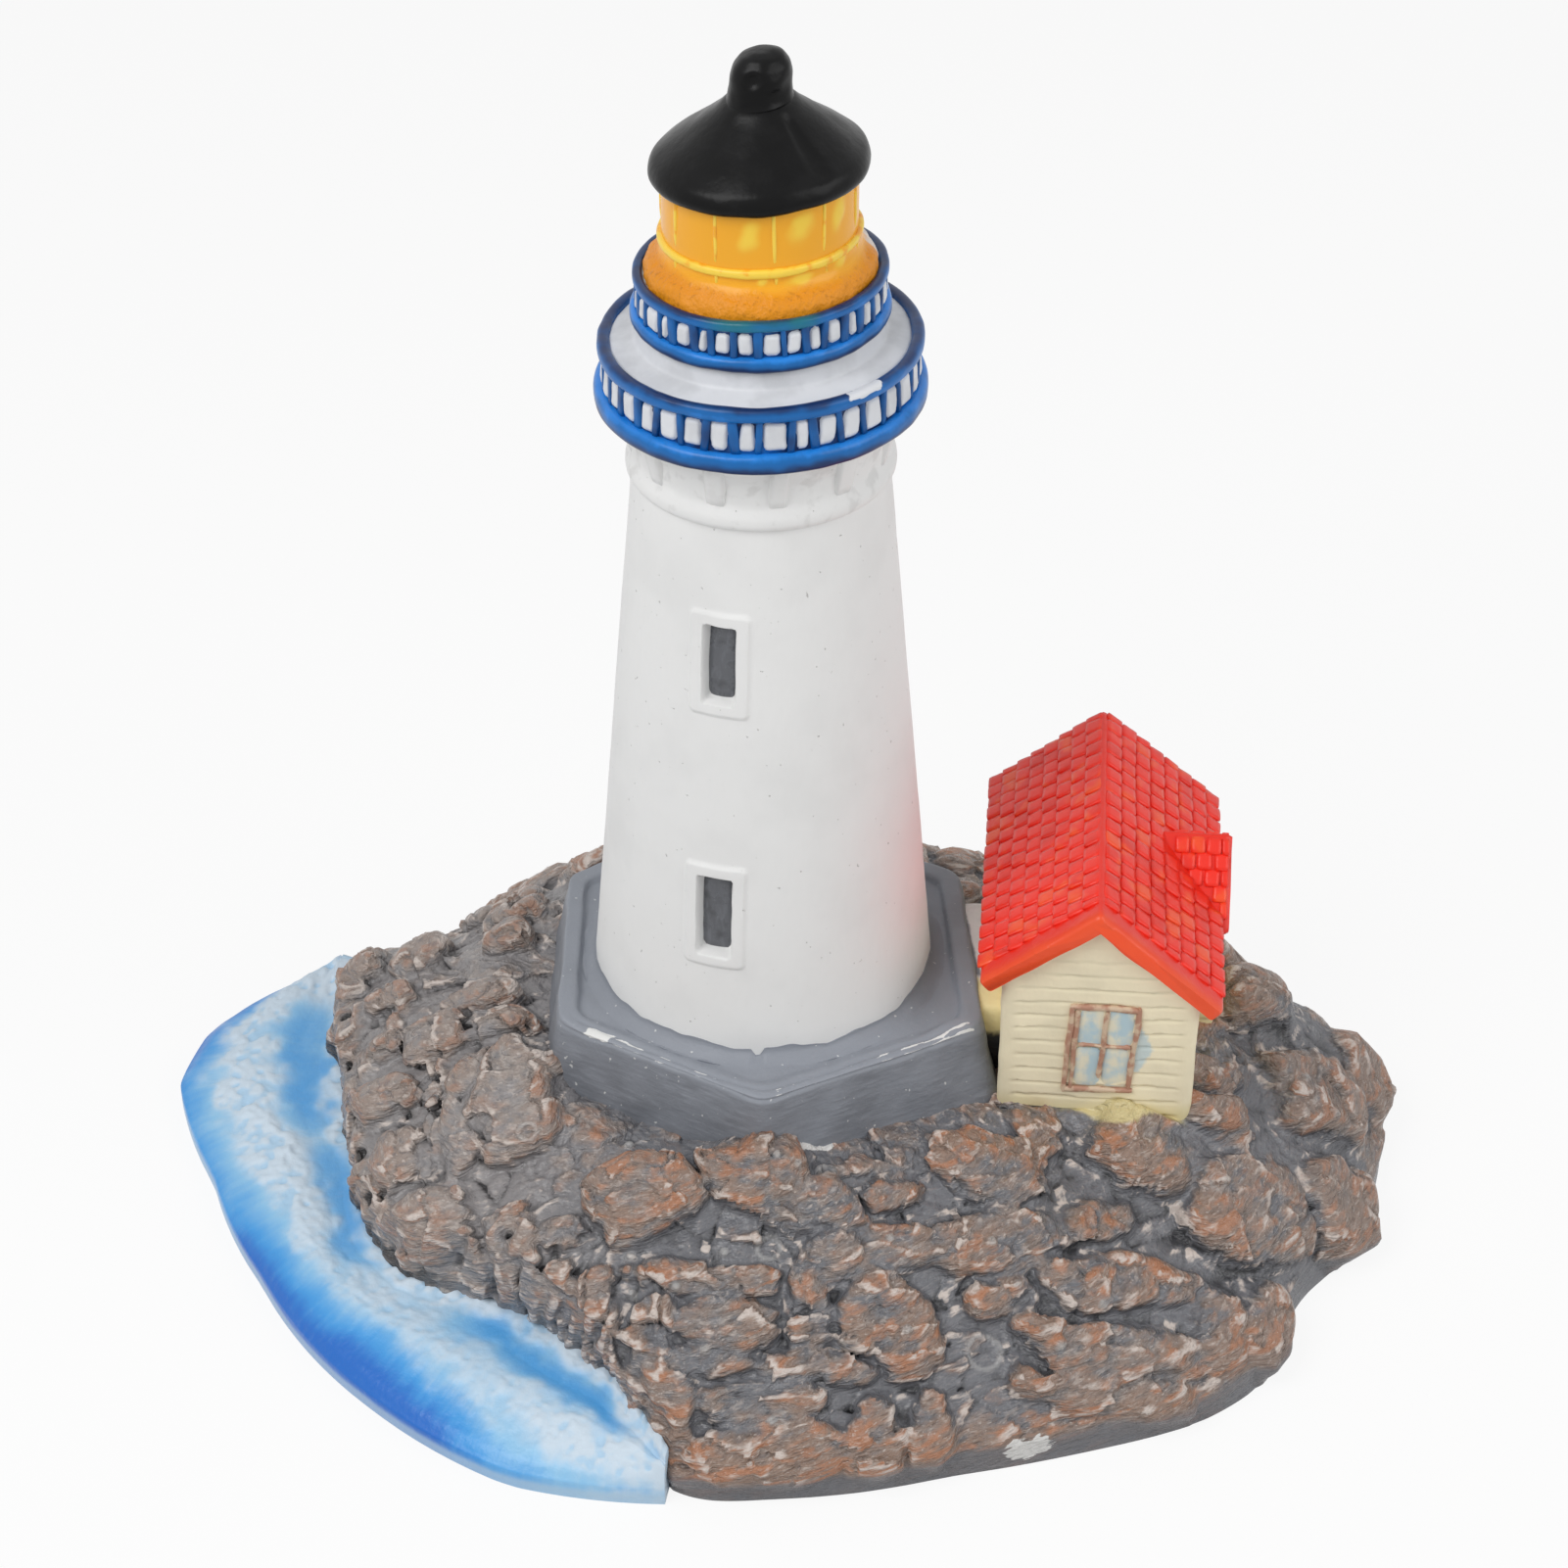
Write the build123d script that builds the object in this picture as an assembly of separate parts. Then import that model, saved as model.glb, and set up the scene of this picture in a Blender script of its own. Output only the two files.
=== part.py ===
from build123d import *
import os
from math import atan, atan2, cos, degrees, floor, hypot, radians, sin, tan

# Painted lighthouse figurine: a tower on a hexagonal terrace, a keeper's cottage beside it, a rock
# island that carries both, and a strip of sea along the left of the rock.
# Millimetres. The tower's axis is Z, the front is -Y, and the flat underside stands on Z = 0.
# A bearing is in degrees round the tower's axis, counted from the front, with 90 at +X.

# Fits between glued castings
glue_gap = 0.05
peg_radius = 4.0
peg_length = 2.0
socket_spare = 0.2

# Rock island: how far its foot reaches from the tower's axis at each bearing
foot_reach = [
    (0, 47.8), (20, 47.9), (33, 50.5), (47, 55.5), (56, 55.5), (62, 52.6), (72, 56.4),
    (89, 59.3), (98, 55.5), (108, 49.0), (118, 47.0), (130, 45.0), (155, 40.0), (180, 37.0),
    (205, 38.5), (225, 38.5), (232, 40.2), (240, 42.8), (246, 48.3), (250, 51.0), (253, 53.0),
    (258, 55.5), (266, 56.3), (280, 52.0), (296, 50.4), (318, 50.5), (335, 51.0),
]
foot_band = 3.0
summit_height = 14.0
summit_margin = 1.6
# How far the rock banks up above the summit against the terrace at each bearing
bank_height = [
    (0, 1.7), (55, 0.3), (85, -0.5), (105, -2.0), (125, -1.0), (150, 0.8), (180, 1.5), (300, 1.6), (360, 1.7),
]
mound_sides = 72
mound_courses = 3
mound_swell = 0.9

# Stones on the mound: bearing, climb from the foot (0) to the summit (1), length, width, turn
front_slabs = [
    (-22, 0.86, 9.0, 7.5, 0), (-1, 1.00, 9.0, 6.0, 0), (9, 0.87, 8.0, 4.5, 15),
    (17, 0.69, 12.5, 4.5, 12), (24, 0.87, 4.5, 3.0, 15), (15, 0.49, 6.5, 5.0, 30),
    (19, 0.39, 5.0, 6.5, 0), (6, 0.50, 3.8, 6.5, 0), (-9, 0.63, 12.5, 2.8, -5),
    (-5, 0.48, 8.0, 4.2, 4), (-14, 0.46, 4.0, 5.8, 0), (-6, 0.35, 7.5, 2.4, 0),
    (6, 0.32, 8.5, 2.8, 0), (0, 0.20, 10.0, 3.5, 0), (1, 0.06, 11.5, 4.5, 5),
    (12, 0.09, 4.5, 6.5, 0), (18, 0.07, 3.6, 6.0, 0), (-22, 0.48, 4.2, 6.8, 0),
    (-27, 0.47, 3.4, 6.8, 0), (-12, 0.32, 2.5, 5.8, 0), (-9, 0.22, 2.8, 6.5, 0),
    (-31, 0.68, 4.0, 3.0, 0),
]
right_boulders = [
    (43, 0.85, 9.5, 7.0, 0), (36, 0.62, 11.0, 5.5, 12), (50, 0.55, 6.5, 4.5, 0),
    (64, 0.74, 9.0, 8.5, 0), (65, 0.33, 10.5, 10.0, 0), (72, 0.08, 7.0, 8.0, 0),
    (83, 0.40, 9.5, 8.5, 0), (78, 0.98, 6.0, 3.8, 0), (72, 0.93, 5.5, 3.2, 0),
    (45, 0.38, 13.0, 4.5, 5), (40, 0.22, 16.0, 4.5, -3), (37, 0.08, 14.0, 3.6, -3),
    (32, 0.45, 5.0, 3.8, 0), (50, 0.12, 3.8, 7.5, 0), (55, 0.04, 4.5, 7.0, 0),
    (55, 0.84, 4.2, 6.0, 0), (90, 0.12, 6.0, 8.0, 0), (95, 0.72, 7.0, 8.0, 0),
]
left_stones = [
    (-107, 0.47, 4.0, 4.2, 0), (-108, 0.66, 4.8, 5.2, 0), (-96, 0.66, 4.8, 3.4, 0),
    (-122, 0.56, 3.6, 3.4, 0), (-110, 0.98, 5.2, 4.0, 0), (-90, 0.95, 7.0, 2.8, 0),
    (-130, 0.64, 3.4, 3.4, 0), (-83, 0.81, 5.6, 4.8, 0), (-57, 0.94, 7.0, 11.0, 0),
    (-61, 0.79, 3.8, 12.5, 0), (-75, 0.59, 6.4, 4.2, 0), (-63, 0.54, 4.4, 5.6, 0),
    (-49, 0.45, 8.6, 8.0, 0), (-37, 0.56, 5.0, 7.6, 0), (-85, 0.64, 3.2, 2.8, 0),
    (-79, 1.00, 6.0, 2.4, 0), (-61, 0.65, 2.3, 8.0, 0), (-120, 0.84, 5.0, 4.4, 0),
]
back_courses = [(0.12, 7.5), (0.48, 7.0), (0.86, 6.0)]
back_from = 104
back_to = 230
stone_fill = 1.2
stone_sides = 8
stone_rise = 0.8
stone_rise_share = 0.22
stone_sink = 2.5
stone_squareness = 3.2
stone_roughness = 0.12

# Sea: how far the shore lies from the tower's axis at each bearing, and the water's own heights
shore_reach = [
    (-115.5, 47.0), (-111, 45.0), (-105, 42.2), (-88, 40.0), (-74, 39.0), (-60, 41.3),
    (-50, 41.0), (-44, 38.5), (-33, 37.3), (-20, 39.8), (-13.5, 44.0), (-9.5, 48.4),
]
sea_columns = 44
sea_least_width = 0.6
sea_heights = [2.2, 3.3, 4.6, 3.9, 4.8]

# Terrace
terrace_height = 22.0
terrace_radius = 21.2
terrace_batter = 11.0
terrace_pocket = 2.0
kerb_width = 1.6
kerb_height = 0.8

# Tower
tower_foot_radius = 15.4
tower_top_radius = 10.75
tower_height = 52.4
window_bearing = -17.0
window_recess = 0.9
window_pane = 0.4
window_border = 1.15
window_relief = 0.22
upper_window_rise = 39.2
upper_window_width = 2.8
upper_window_height = 7.3
lower_window_rise = 14.5
lower_window_width = 3.1
lower_window_height = 7.9

# Corbel ring under the lower gallery
corbel_ring_height = 6.4
corbel_count = 12
corbel_width = 2.6
corbel_reach = 1.5
corbel_foot = 0.4
corbel_tip = 1.0
corbel_ledge_height = 0.8
corbel_ledge_reach = 0.35
corbel_flange = 0.9

# Lower gallery
lower_foot_radius = 13.1
lower_taper = 0.4
lower_rail_height = 2.0
lower_rail_depth = 0.7
lower_panel_height = 2.6
lower_handrail_height = 1.0
lower_handrail_width = 1.05
lower_deck_drop = 0.4
lower_baluster_count = 38
neck_radius = 9.8
neck_height = 2.2

# Upper gallery
upper_foot_radius = 10.1
upper_taper = 0.2
upper_rail_height = 1.0
upper_rail_depth = 0.5
upper_panel_height = 2.5
upper_handrail_height = 0.8
upper_handrail_width = 0.8
upper_deck_drop = 0.4
upper_baluster_count = 34

# Balusters of both galleries
baluster_width = 0.65
baluster_depth = 0.35

# Lantern
lantern_radius = 7.9
lantern_height = 9.1
lantern_skirt_height = 1.5
lantern_skirt_lip = 0.3
lantern_bar_count = 11
lantern_bar_first = -25.0
lantern_bar_width = 0.4
lantern_bar_depth = 0.3
lantern_band_rise = 3.7
lantern_band_height = 0.7
lantern_band_depth = 0.35

# Cap and its vent
cap_radius = 8.75
cap_rim_height = 1.1
cap_height = 5.5
cap_crown_radius = 2.9
vent_radius = 2.65
vent_height = 4.2
vent_peg_radius = 1.2
vent_peg_length = 1.2

# Cottage
cottage_gap = 1.1
cottage_front = 13.3
cottage_turn = -4.7
cottage_width = 17.2
cottage_length = 30.0
cottage_pocket = 3.0
cottage_left_eave = 14.0
cottage_right_eave = 12.4
cottage_apex = 20.8
board_pitch = 1.6
board_groove = 0.2
corner_board = 1.4
wing_depth = 1.9
wing_centre = 18.3
wing_half_width = 4.6
wing_eave = 11.6
wing_apex = 16.3

# Cottage roof
roof_thickness = 1.25
roof_overhang = 1.4
roof_front_overhang = 1.2
roof_courses = 7
roof_course_step = 0.28
wing_roof_overhang = 1.0
wing_roof_courses = 4

# Cottage window in the front gable
cottage_window_left = 5.6
cottage_window_sill = 2.6
cottage_window_width = 6.7
cottage_window_height = 9.4
cottage_frame_bar = 0.75
cottage_muntin = 0.5
cottage_frame_depth = 0.5
cottage_frame_relief = 0.2
cottage_pane_depth = 0.35

# Link between the terrace and the cottage
link_from = 8.6
link_to = 7.0
link_top = 23.0

# Radii and levels worked out from the sizes above
lower_top_radius = lower_foot_radius - lower_taper
upper_top_radius = upper_foot_radius - upper_taper
terrace_floor = terrace_height - kerb_height
terrace_seat = summit_height - terrace_pocket
terrace_foot_radius = terrace_radius + (terrace_height - terrace_seat) * tan(radians(terrace_batter))
tower_top = terrace_floor + tower_height
lower_gallery_level = tower_top + corbel_ring_height
lower_panel_level = lower_gallery_level + lower_rail_height
lower_handrail_level = lower_panel_level + lower_panel_height
lower_deck_level = lower_handrail_level + lower_handrail_height - lower_deck_drop
upper_gallery_level = lower_deck_level + neck_height
upper_panel_level = upper_gallery_level + upper_rail_height
upper_handrail_level = upper_panel_level + upper_panel_height
upper_deck_level = upper_handrail_level + upper_handrail_height - upper_deck_drop
cap_level = upper_deck_level + lantern_height
vent_level = cap_level + cap_height
tower_lean = degrees(atan((tower_foot_radius - tower_top_radius) / tower_height))


# Shared helpers
def wobble(number):
    """Return a fixed fraction from 0 to 1 that looks random."""
    value = sin(12.9898 * number + 4.1) * 43758.5453
    return value - floor(value)


def reach_at(table, bearing):
    """Read a bearing table, with straight steps between its entries."""
    for (low, near), (high, far) in zip(table, table[1:]):
        if bearing <= high:
            return near + (far - near) * (bearing - low) / (high - low)
    return table[-1][1]


def foot_at(bearing):
    """Return how far the island's foot reaches at any bearing."""
    first, reach = foot_reach[0]
    return reach_at(foot_reach + [(first + 360, reach)], (bearing - first) % 360 + first)


def at_bearing(bearing, reach, height):
    """Return the point at a bearing and reach from the tower's axis."""
    angle = radians(bearing)
    return (reach * sin(angle), -reach * cos(angle), height)


def planar_solid(faces):
    """Close a set of flat faces, each a list of points, into one solid."""
    return Solid(Shell([Face(Wire.make_polygon(points, close=True)) for points in faces]))


def turned(profile):
    """Revolve a closed profile of radius and height points about the tower's axis."""
    outline = Plane.XZ * make_face(Polyline(*profile, close=True))
    return revolve(outline, Axis.Z)


def turned_rail(inner, outer, low, high):
    """Revolve a rail with a flat foot and head and a rounded outer side."""
    round_depth = min(0.45 * (outer - inner), 0.5 * (high - low))
    flat = outer - round_depth
    side = ThreePointArc((flat, low), (outer, (low + high) / 2), (flat, high))
    rest = Polyline((flat, high), (inner, high), (inner, low), (flat, low))
    return revolve(Plane.XZ * make_face([side, rest]), Axis.Z)


def peg(level, radius=peg_radius, length=peg_length):
    """Return the locating peg under a casting whose foot is at this level."""
    return Pos(0, 0, level - length / 2) * Cylinder(radius, length)


def socket(level, radius=peg_radius, length=peg_length):
    """Return the cut for a peg in a casting whose top is at this level."""
    depth = length + socket_spare
    return Pos(0, 0, level - depth / 2) * Cylinder(radius + glue_gap, depth)


def facing(bearing, reach, height, lean=0.0):
    """Return a plane on the tower's side: X along the wall, Y up the wall, Z outward."""
    angle = radians(bearing)
    tilt = radians(lean)
    outward = (sin(angle) * cos(tilt), -cos(angle) * cos(tilt), sin(tilt))
    return Plane(at_bearing(bearing, reach, height), x_dir=(cos(angle), sin(angle), 0), z_dir=outward)


def upright_bars(count, first, foot, head, depth, width):
    """Return bars round the axis, each between a foot and a head given as radius and height."""
    side = [foot, (foot[0] + depth, foot[1]), (head[0] + depth, head[1]), head]
    bar = extrude(Plane.XZ * make_face(Polyline(*side, close=True)), amount=width / 2, both=True)
    return [Rot(0, 0, first - 90 + 360 * i / count) * bar for i in range(count)]


# Cottage place: X along the front wall, Y towards the back, Z up from the summit
def cottage_place():
    """Return the location of the cottage's front left corner."""
    terrace_side = terrace_foot_radius * cos(radians(30))
    return Location((terrace_side + cottage_gap, -cottage_front, summit_height), (0, 0, cottage_turn))


def reach_over_cottage(bearing):
    """Return how far a ray from the axis goes before it leaves the cottage, or 0 if it misses."""
    corner = cottage_place().position
    yaw = radians(cottage_turn)
    ray = at_bearing(bearing, 1.0, 0.0)
    spans = []
    for axis, size in (((cos(yaw), sin(yaw)), cottage_width), ((-sin(yaw), cos(yaw)), cottage_length)):
        start = -(corner.X * axis[0] + corner.Y * axis[1])
        speed = ray[0] * axis[0] + ray[1] * axis[1]
        if abs(speed) < 1e-9:
            speed = 1e-9
        spans.append(sorted(((0 - start) / speed, (size - start) / speed)))
    enter = max(span[0] for span in spans)
    leave = min(span[1] for span in spans)
    return leave if leave > max(enter, 0) else 0


# Rock island
def ground_point(bearing, climb):
    """Return a point on the smooth mound."""
    summit = max(terrace_foot_radius, reach_over_cottage(bearing)) + summit_margin
    foot = foot_at(bearing)
    reach = foot + (min(summit, foot - summit_margin) - foot) * climb
    rise = summit_height + reach_at(bank_height, bearing % 360) - foot_band
    return at_bearing(bearing, reach, foot_band + rise * climb ** mound_swell)


def mound():
    """Build the smooth mound as rings of flat facets, closed by a level floor under the tower."""
    bearings = [360 * i / mound_sides for i in range(mound_sides)]
    rings = [[at_bearing(b, foot_at(b), 0) for b in bearings]]
    rings += [[ground_point(b, k / mound_courses) for b in bearings] for k in range(mound_courses + 1)]
    rings.append([at_bearing(b, tower_foot_radius, summit_height) for b in bearings])
    faces = [rings[0], rings[-1]]
    for lower, upper in zip(rings, rings[1:]):
        for i in range(mound_sides):
            j = (i + 1) % mound_sides
            faces.append([lower[i], lower[j], upper[j]])
            faces.append([lower[i], upper[j], upper[i]])
    return planar_solid(faces)


def stone(bearing, climb, length, width, turn):
    """Build one rough stone, bedded in the mound and square to its slope."""
    here = ground_point(bearing, climb)
    foot = ground_point(bearing, 0)
    summit = ground_point(bearing, 1)
    slope = atan2(summit[2] - foot[2], hypot(foot[0] - summit[0], foot[1] - summit[1]))
    angle = radians(bearing)
    outward = (sin(angle) * sin(slope), -cos(angle) * sin(slope), cos(slope))
    along = (cos(radians(turn)), sin(radians(turn)), 0)
    bed = Plane(here, x_dir=along, z_dir=outward)
    seed = bearing * 1.7 + climb * 91.3
    rise = stone_rise + stone_rise_share * min(length, width)
    outline = []
    for i in range(stone_sides):
        a = radians(360 * (i + 0.5 * wobble(seed + i)) / stone_sides)
        power = stone_squareness
        scale = (abs(cos(a)) ** power + abs(sin(a)) ** power) ** (-1 / power)
        scale *= 1 + stone_roughness * (2 * wobble(seed + stone_sides + i) - 1)
        scale *= stone_fill / 2
        outline.append((length * scale * cos(a), width * scale * sin(a)))
    sections = [(-stone_sink, 1.0), (0.45 * rise, 1.0), (0.85 * rise, 0.86), (rise, 0.62)]
    rings = []
    for level, share in sections:
        ring = [bed.from_local_coords((x * share, y * share, level)) for x, y in outline]
        rings.append([(point.X, point.Y, point.Z) for point in ring])
    faces = [rings[0], rings[-1]]
    for lower, upper in zip(rings, rings[1:]):
        for i in range(stone_sides):
            j = (i + 1) % stone_sides
            faces.append([lower[i], lower[j], upper[j], upper[i]])
    return planar_solid(faces)


def back_stones():
    """Lay out the stones of the hidden back in even courses."""
    layout = []
    for climb, size in back_courses:
        reach = hypot(*ground_point((back_from + back_to) / 2, climb)[:2])
        count = int(radians(back_to - back_from) * reach / size)
        for i in range(count):
            bearing = back_from + (back_to - back_from) * (i + 0.5 * wobble(count + i)) / count
            length = size * (0.8 + 0.4 * wobble(2 * count + i))
            layout.append((bearing, climb, length, 0.8 * size, bearing))
    return layout


def build_rock():
    """Join the stones to the mound, then cut it where the other castings sit."""
    layout = front_slabs + right_boulders + left_stones + back_stones()
    rock = mound().fuse(*[stone(*entry) for entry in layout])
    span = 4 * max(reach for bearing, reach in foot_reach)
    below = Pos(0, 0, -span / 2) * Box(span, span, span)
    return rock - below - sea_bed() - terrace_block() - cottage_block() - link_block()


# Sea
def sea_rows():
    """Return rows of plan points from the sea's rim to the shore."""
    first = shore_reach[0][0]
    last = shore_reach[-1][0]
    columns = []
    for i in range(sea_columns + 1):
        bearing = first + (last - first) * i / sea_columns
        rim = foot_at(bearing)
        shore = min(reach_at(shore_reach, bearing), rim - sea_least_width)
        columns.append((bearing, rim, shore))
    return columns


def sea_bed():
    """Return the block that the sea takes out of the rock, as high as the figurine."""
    columns = sea_rows()
    rim = [at_bearing(b, 1.5 * far, 0) for b, far, near in columns]
    shore = [at_bearing(b, near, 0) for b, far, near in columns]
    return extrude(make_face(Polyline(*rim, *reversed(shore), close=True)), amount=terrace_height * 2)


def build_sea():
    """Build the sea: an upright rim, a foam ridge, a pool behind it and foam along the shore."""
    columns = sea_rows()
    steps = len(sea_heights) - 1
    rows = [[at_bearing(b, far, 0) for b, far, near in columns]]
    for k, height in enumerate(sea_heights):
        row = [at_bearing(b, far + (near - far) * k / steps, height) for b, far, near in columns]
        rows.append(row)
    rows.append([at_bearing(b, near, 0) for b, far, near in columns])
    faces = [rows[0] + list(reversed(rows[-1]))]
    faces.append([row[0] for row in rows])
    faces.append([row[-1] for row in rows])
    for outer, inner in zip(rows, rows[1:]):
        for i in range(sea_columns):
            faces.append([outer[i], outer[i + 1], inner[i + 1]])
            faces.append([outer[i], inner[i + 1], inner[i]])
    return planar_solid(faces)


# Terrace
def hexagon(radius, level):
    """Return a flat hexagon with one corner to the front."""
    return Pos(0, 0, level) * RegularPolygon(radius, 6, rotation=30)


def terrace_block():
    """Return the terrace's outer form, with its battered sides."""
    return loft([hexagon(terrace_foot_radius, terrace_seat), hexagon(terrace_radius, terrace_height)])


def build_terrace():
    """Sink the terrace's floor inside its kerb and cut the tower's socket."""
    inner = terrace_radius - kerb_width / cos(radians(30))
    floor_cut = extrude(hexagon(inner, terrace_floor), amount=kerb_height)
    return terrace_block() - floor_cut - socket(terrace_floor)


# Tower
def tower_radius(rise):
    """Return the tower's radius at a height above its foot."""
    return tower_foot_radius + (tower_top_radius - tower_foot_radius) * rise / tower_height


def window_plane(rise):
    """Return the plane of the tower's wall at a window's centre."""
    return facing(window_bearing, tower_radius(rise), terrace_floor + rise, tower_lean)


def window_cut(rise, width, height):
    """Return the recess of one tower window."""
    depth = window_recess + window_relief * 3
    return window_plane(rise) * Pos(0, 0, depth / 2 - window_recess) * Box(width, height, depth)


def window_surround(rise, width, height):
    """Return the low raised border round one tower window, curved with the wall."""
    wide = width + 2 * window_border
    tall = height + 2 * window_border
    block = window_plane(rise) * Pos(0, 0, -window_recess) * Box(wide, tall, 4 * window_recess)
    proud = turned([
        (0, terrace_floor), (tower_foot_radius + window_relief, terrace_floor),
        (tower_top_radius + window_relief, tower_top), (0, tower_top),
    ])
    return block & proud


def build_tower():
    """Build the tapered shaft with its two recessed windows."""
    shaft = turned([
        (0, terrace_floor), (tower_foot_radius, terrace_floor),
        (tower_top_radius, tower_top), (0, tower_top),
    ])
    windows = tower_windows()
    for window in windows:
        shaft += window_surround(*window)
    for window in windows:
        shaft -= window_cut(*window)
    return shaft + peg(terrace_floor) - socket(tower_top)


def tower_windows():
    """Return the height above the foot, width and height of the two tower windows."""
    upper = (upper_window_rise, upper_window_width, upper_window_height)
    lower = (lower_window_rise, lower_window_width, lower_window_height)
    return [upper, lower]


def build_tower_pane(rise, width, height):
    """Build the pane that lies on the floor of a window's recess."""
    pane = Box(width - 2 * glue_gap, height - 2 * glue_gap, window_pane)
    return window_plane(rise) * Pos(0, 0, window_pane / 2 - window_recess) * pane


# Corbel ring
def build_corbel_ring():
    """Build the neck with its ledge, brackets and the flange that carries the lower gallery."""
    neck = tower_top_radius - corbel_ledge_reach
    ledge = tower_top_radius + corbel_ledge_reach
    flange = lower_foot_radius + lower_rail_depth * 0.6
    flange_level = lower_gallery_level - corbel_flange
    ring = turned([
        (0, tower_top), (tower_top_radius, tower_top), (ledge, tower_top + corbel_ledge_height / 2),
        (neck, tower_top + corbel_ledge_height), (neck, flange_level),
        (flange, flange_level), (flange, lower_gallery_level), (0, lower_gallery_level),
    ])
    foot_level = tower_top + corbel_ledge_height
    head_level = flange_level - corbel_tip
    low = (neck - corbel_reach, foot_level)
    foot = (neck + corbel_foot, foot_level)
    head = (neck + corbel_reach, head_level)
    tip = (neck + corbel_reach, flange_level)
    back = (neck - corbel_reach, flange_level)
    bend = (neck + corbel_foot + 0.3 * (corbel_reach - corbel_foot), (foot_level + head_level) / 2)
    side = [ThreePointArc(foot, bend, head), Polyline(head, tip, back, low, foot)]
    bracket = extrude(Plane.XZ * make_face(side), amount=corbel_width / 2, both=True)
    brackets = [Rot(0, 0, 360 * i / corbel_count) * bracket for i in range(corbel_count)]
    return ring.fuse(*brackets) + peg(tower_top) - socket(lower_gallery_level)


# Lower gallery
def build_lower_drum():
    """Build the white drum: panels outside, deck on top, and the neck under the upper gallery."""
    rebate = lower_top_radius - lower_handrail_width / 2
    drum = turned([
        (0, lower_gallery_level), (lower_foot_radius, lower_gallery_level),
        (lower_foot_radius, lower_panel_level), (lower_top_radius, lower_handrail_level),
        (rebate - glue_gap, lower_handrail_level), (rebate - glue_gap, lower_deck_level),
        (neck_radius, lower_deck_level), (neck_radius, upper_gallery_level), (0, upper_gallery_level),
    ])
    return drum + peg(lower_gallery_level) - socket(upper_gallery_level)


def build_lower_rail():
    """Build the rounded rail round the foot of the lower gallery."""
    inner = lower_foot_radius + glue_gap
    return turned_rail(inner, inner + lower_rail_depth, lower_gallery_level, lower_panel_level)


def build_lower_balusters():
    """Build the balusters of the lower gallery, standing on the rail."""
    foot = (lower_foot_radius + glue_gap, lower_panel_level)
    head = (lower_top_radius + glue_gap, lower_handrail_level)
    return upright_bars(lower_baluster_count, 0, foot, head, baluster_depth, baluster_width)


def build_lower_handrail():
    """Build the handrail of the lower gallery, bedded on the drum and the balusters."""
    inner = lower_top_radius - lower_handrail_width / 2
    high = lower_handrail_level + lower_handrail_height
    return turned_rail(inner, inner + lower_handrail_width, lower_handrail_level, high)


# Upper gallery
def build_upper_drum():
    """Build the white drum of the upper gallery."""
    rebate = upper_top_radius - upper_handrail_width / 2
    drum = turned([
        (0, upper_gallery_level), (upper_foot_radius, upper_gallery_level),
        (upper_foot_radius, upper_panel_level), (upper_top_radius, upper_handrail_level),
        (rebate - glue_gap, upper_handrail_level), (rebate - glue_gap, upper_deck_level),
        (0, upper_deck_level),
    ])
    return drum + peg(upper_gallery_level) - socket(upper_deck_level)


def build_upper_rail():
    """Build the rounded rail round the foot of the upper gallery."""
    inner = upper_foot_radius + glue_gap
    return turned_rail(inner, inner + upper_rail_depth, upper_gallery_level, upper_panel_level)


def build_upper_balusters():
    """Build the balusters of the upper gallery, standing on the rail."""
    foot = (upper_foot_radius + glue_gap, upper_panel_level)
    head = (upper_top_radius + glue_gap, upper_handrail_level)
    return upright_bars(upper_baluster_count, 0, foot, head, baluster_depth, baluster_width)


def build_upper_handrail():
    """Build the handrail of the upper gallery."""
    inner = upper_top_radius - upper_handrail_width / 2
    high = upper_handrail_level + upper_handrail_height
    return turned_rail(inner, inner + upper_handrail_width, upper_handrail_level, high)


# Lantern
def build_lantern_room():
    """Build the amber lantern: a drum that flares to a skirt on the upper deck."""
    skirt = upper_top_radius - upper_handrail_width / 2 - 2 * glue_gap
    lip = upper_deck_level + lantern_skirt_lip
    waist = upper_deck_level + lantern_skirt_height
    bend = (lantern_radius + 0.25 * (skirt - lantern_radius), lip + 0.3 * (waist - lip))
    flare = ThreePointArc((skirt, lip), bend, (lantern_radius, waist))
    rest = Polyline(
        (lantern_radius, waist), (lantern_radius, cap_level), (0, cap_level),
        (0, upper_deck_level), (skirt, upper_deck_level), (skirt, lip),
    )
    drum = revolve(Plane.XZ * make_face([flare, rest]), Axis.Z)
    return drum + peg(upper_deck_level) - socket(cap_level)


def lantern_band_levels():
    """Return the foot and head of the lantern's band."""
    low = upper_deck_level + lantern_band_rise
    return low, low + lantern_band_height


def build_lantern_band():
    """Build the band that crosses the glazing bars."""
    low, high = lantern_band_levels()
    inner = lantern_radius + glue_gap
    return turned_rail(inner, inner + lantern_band_depth, low, high)


def build_lantern_bars():
    """Build the glazing bars, each in two lengths, below and above the band."""
    low, high = lantern_band_levels()
    reach = lantern_radius + glue_gap / 2
    waist = upper_deck_level + lantern_skirt_height
    bars = []
    for foot, head in ((waist, low), (high, cap_level)):
        bars += upright_bars(
            lantern_bar_count, lantern_bar_first, (reach, foot), (reach, head),
            lantern_bar_depth, lantern_bar_width,
        )
    return bars


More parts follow.
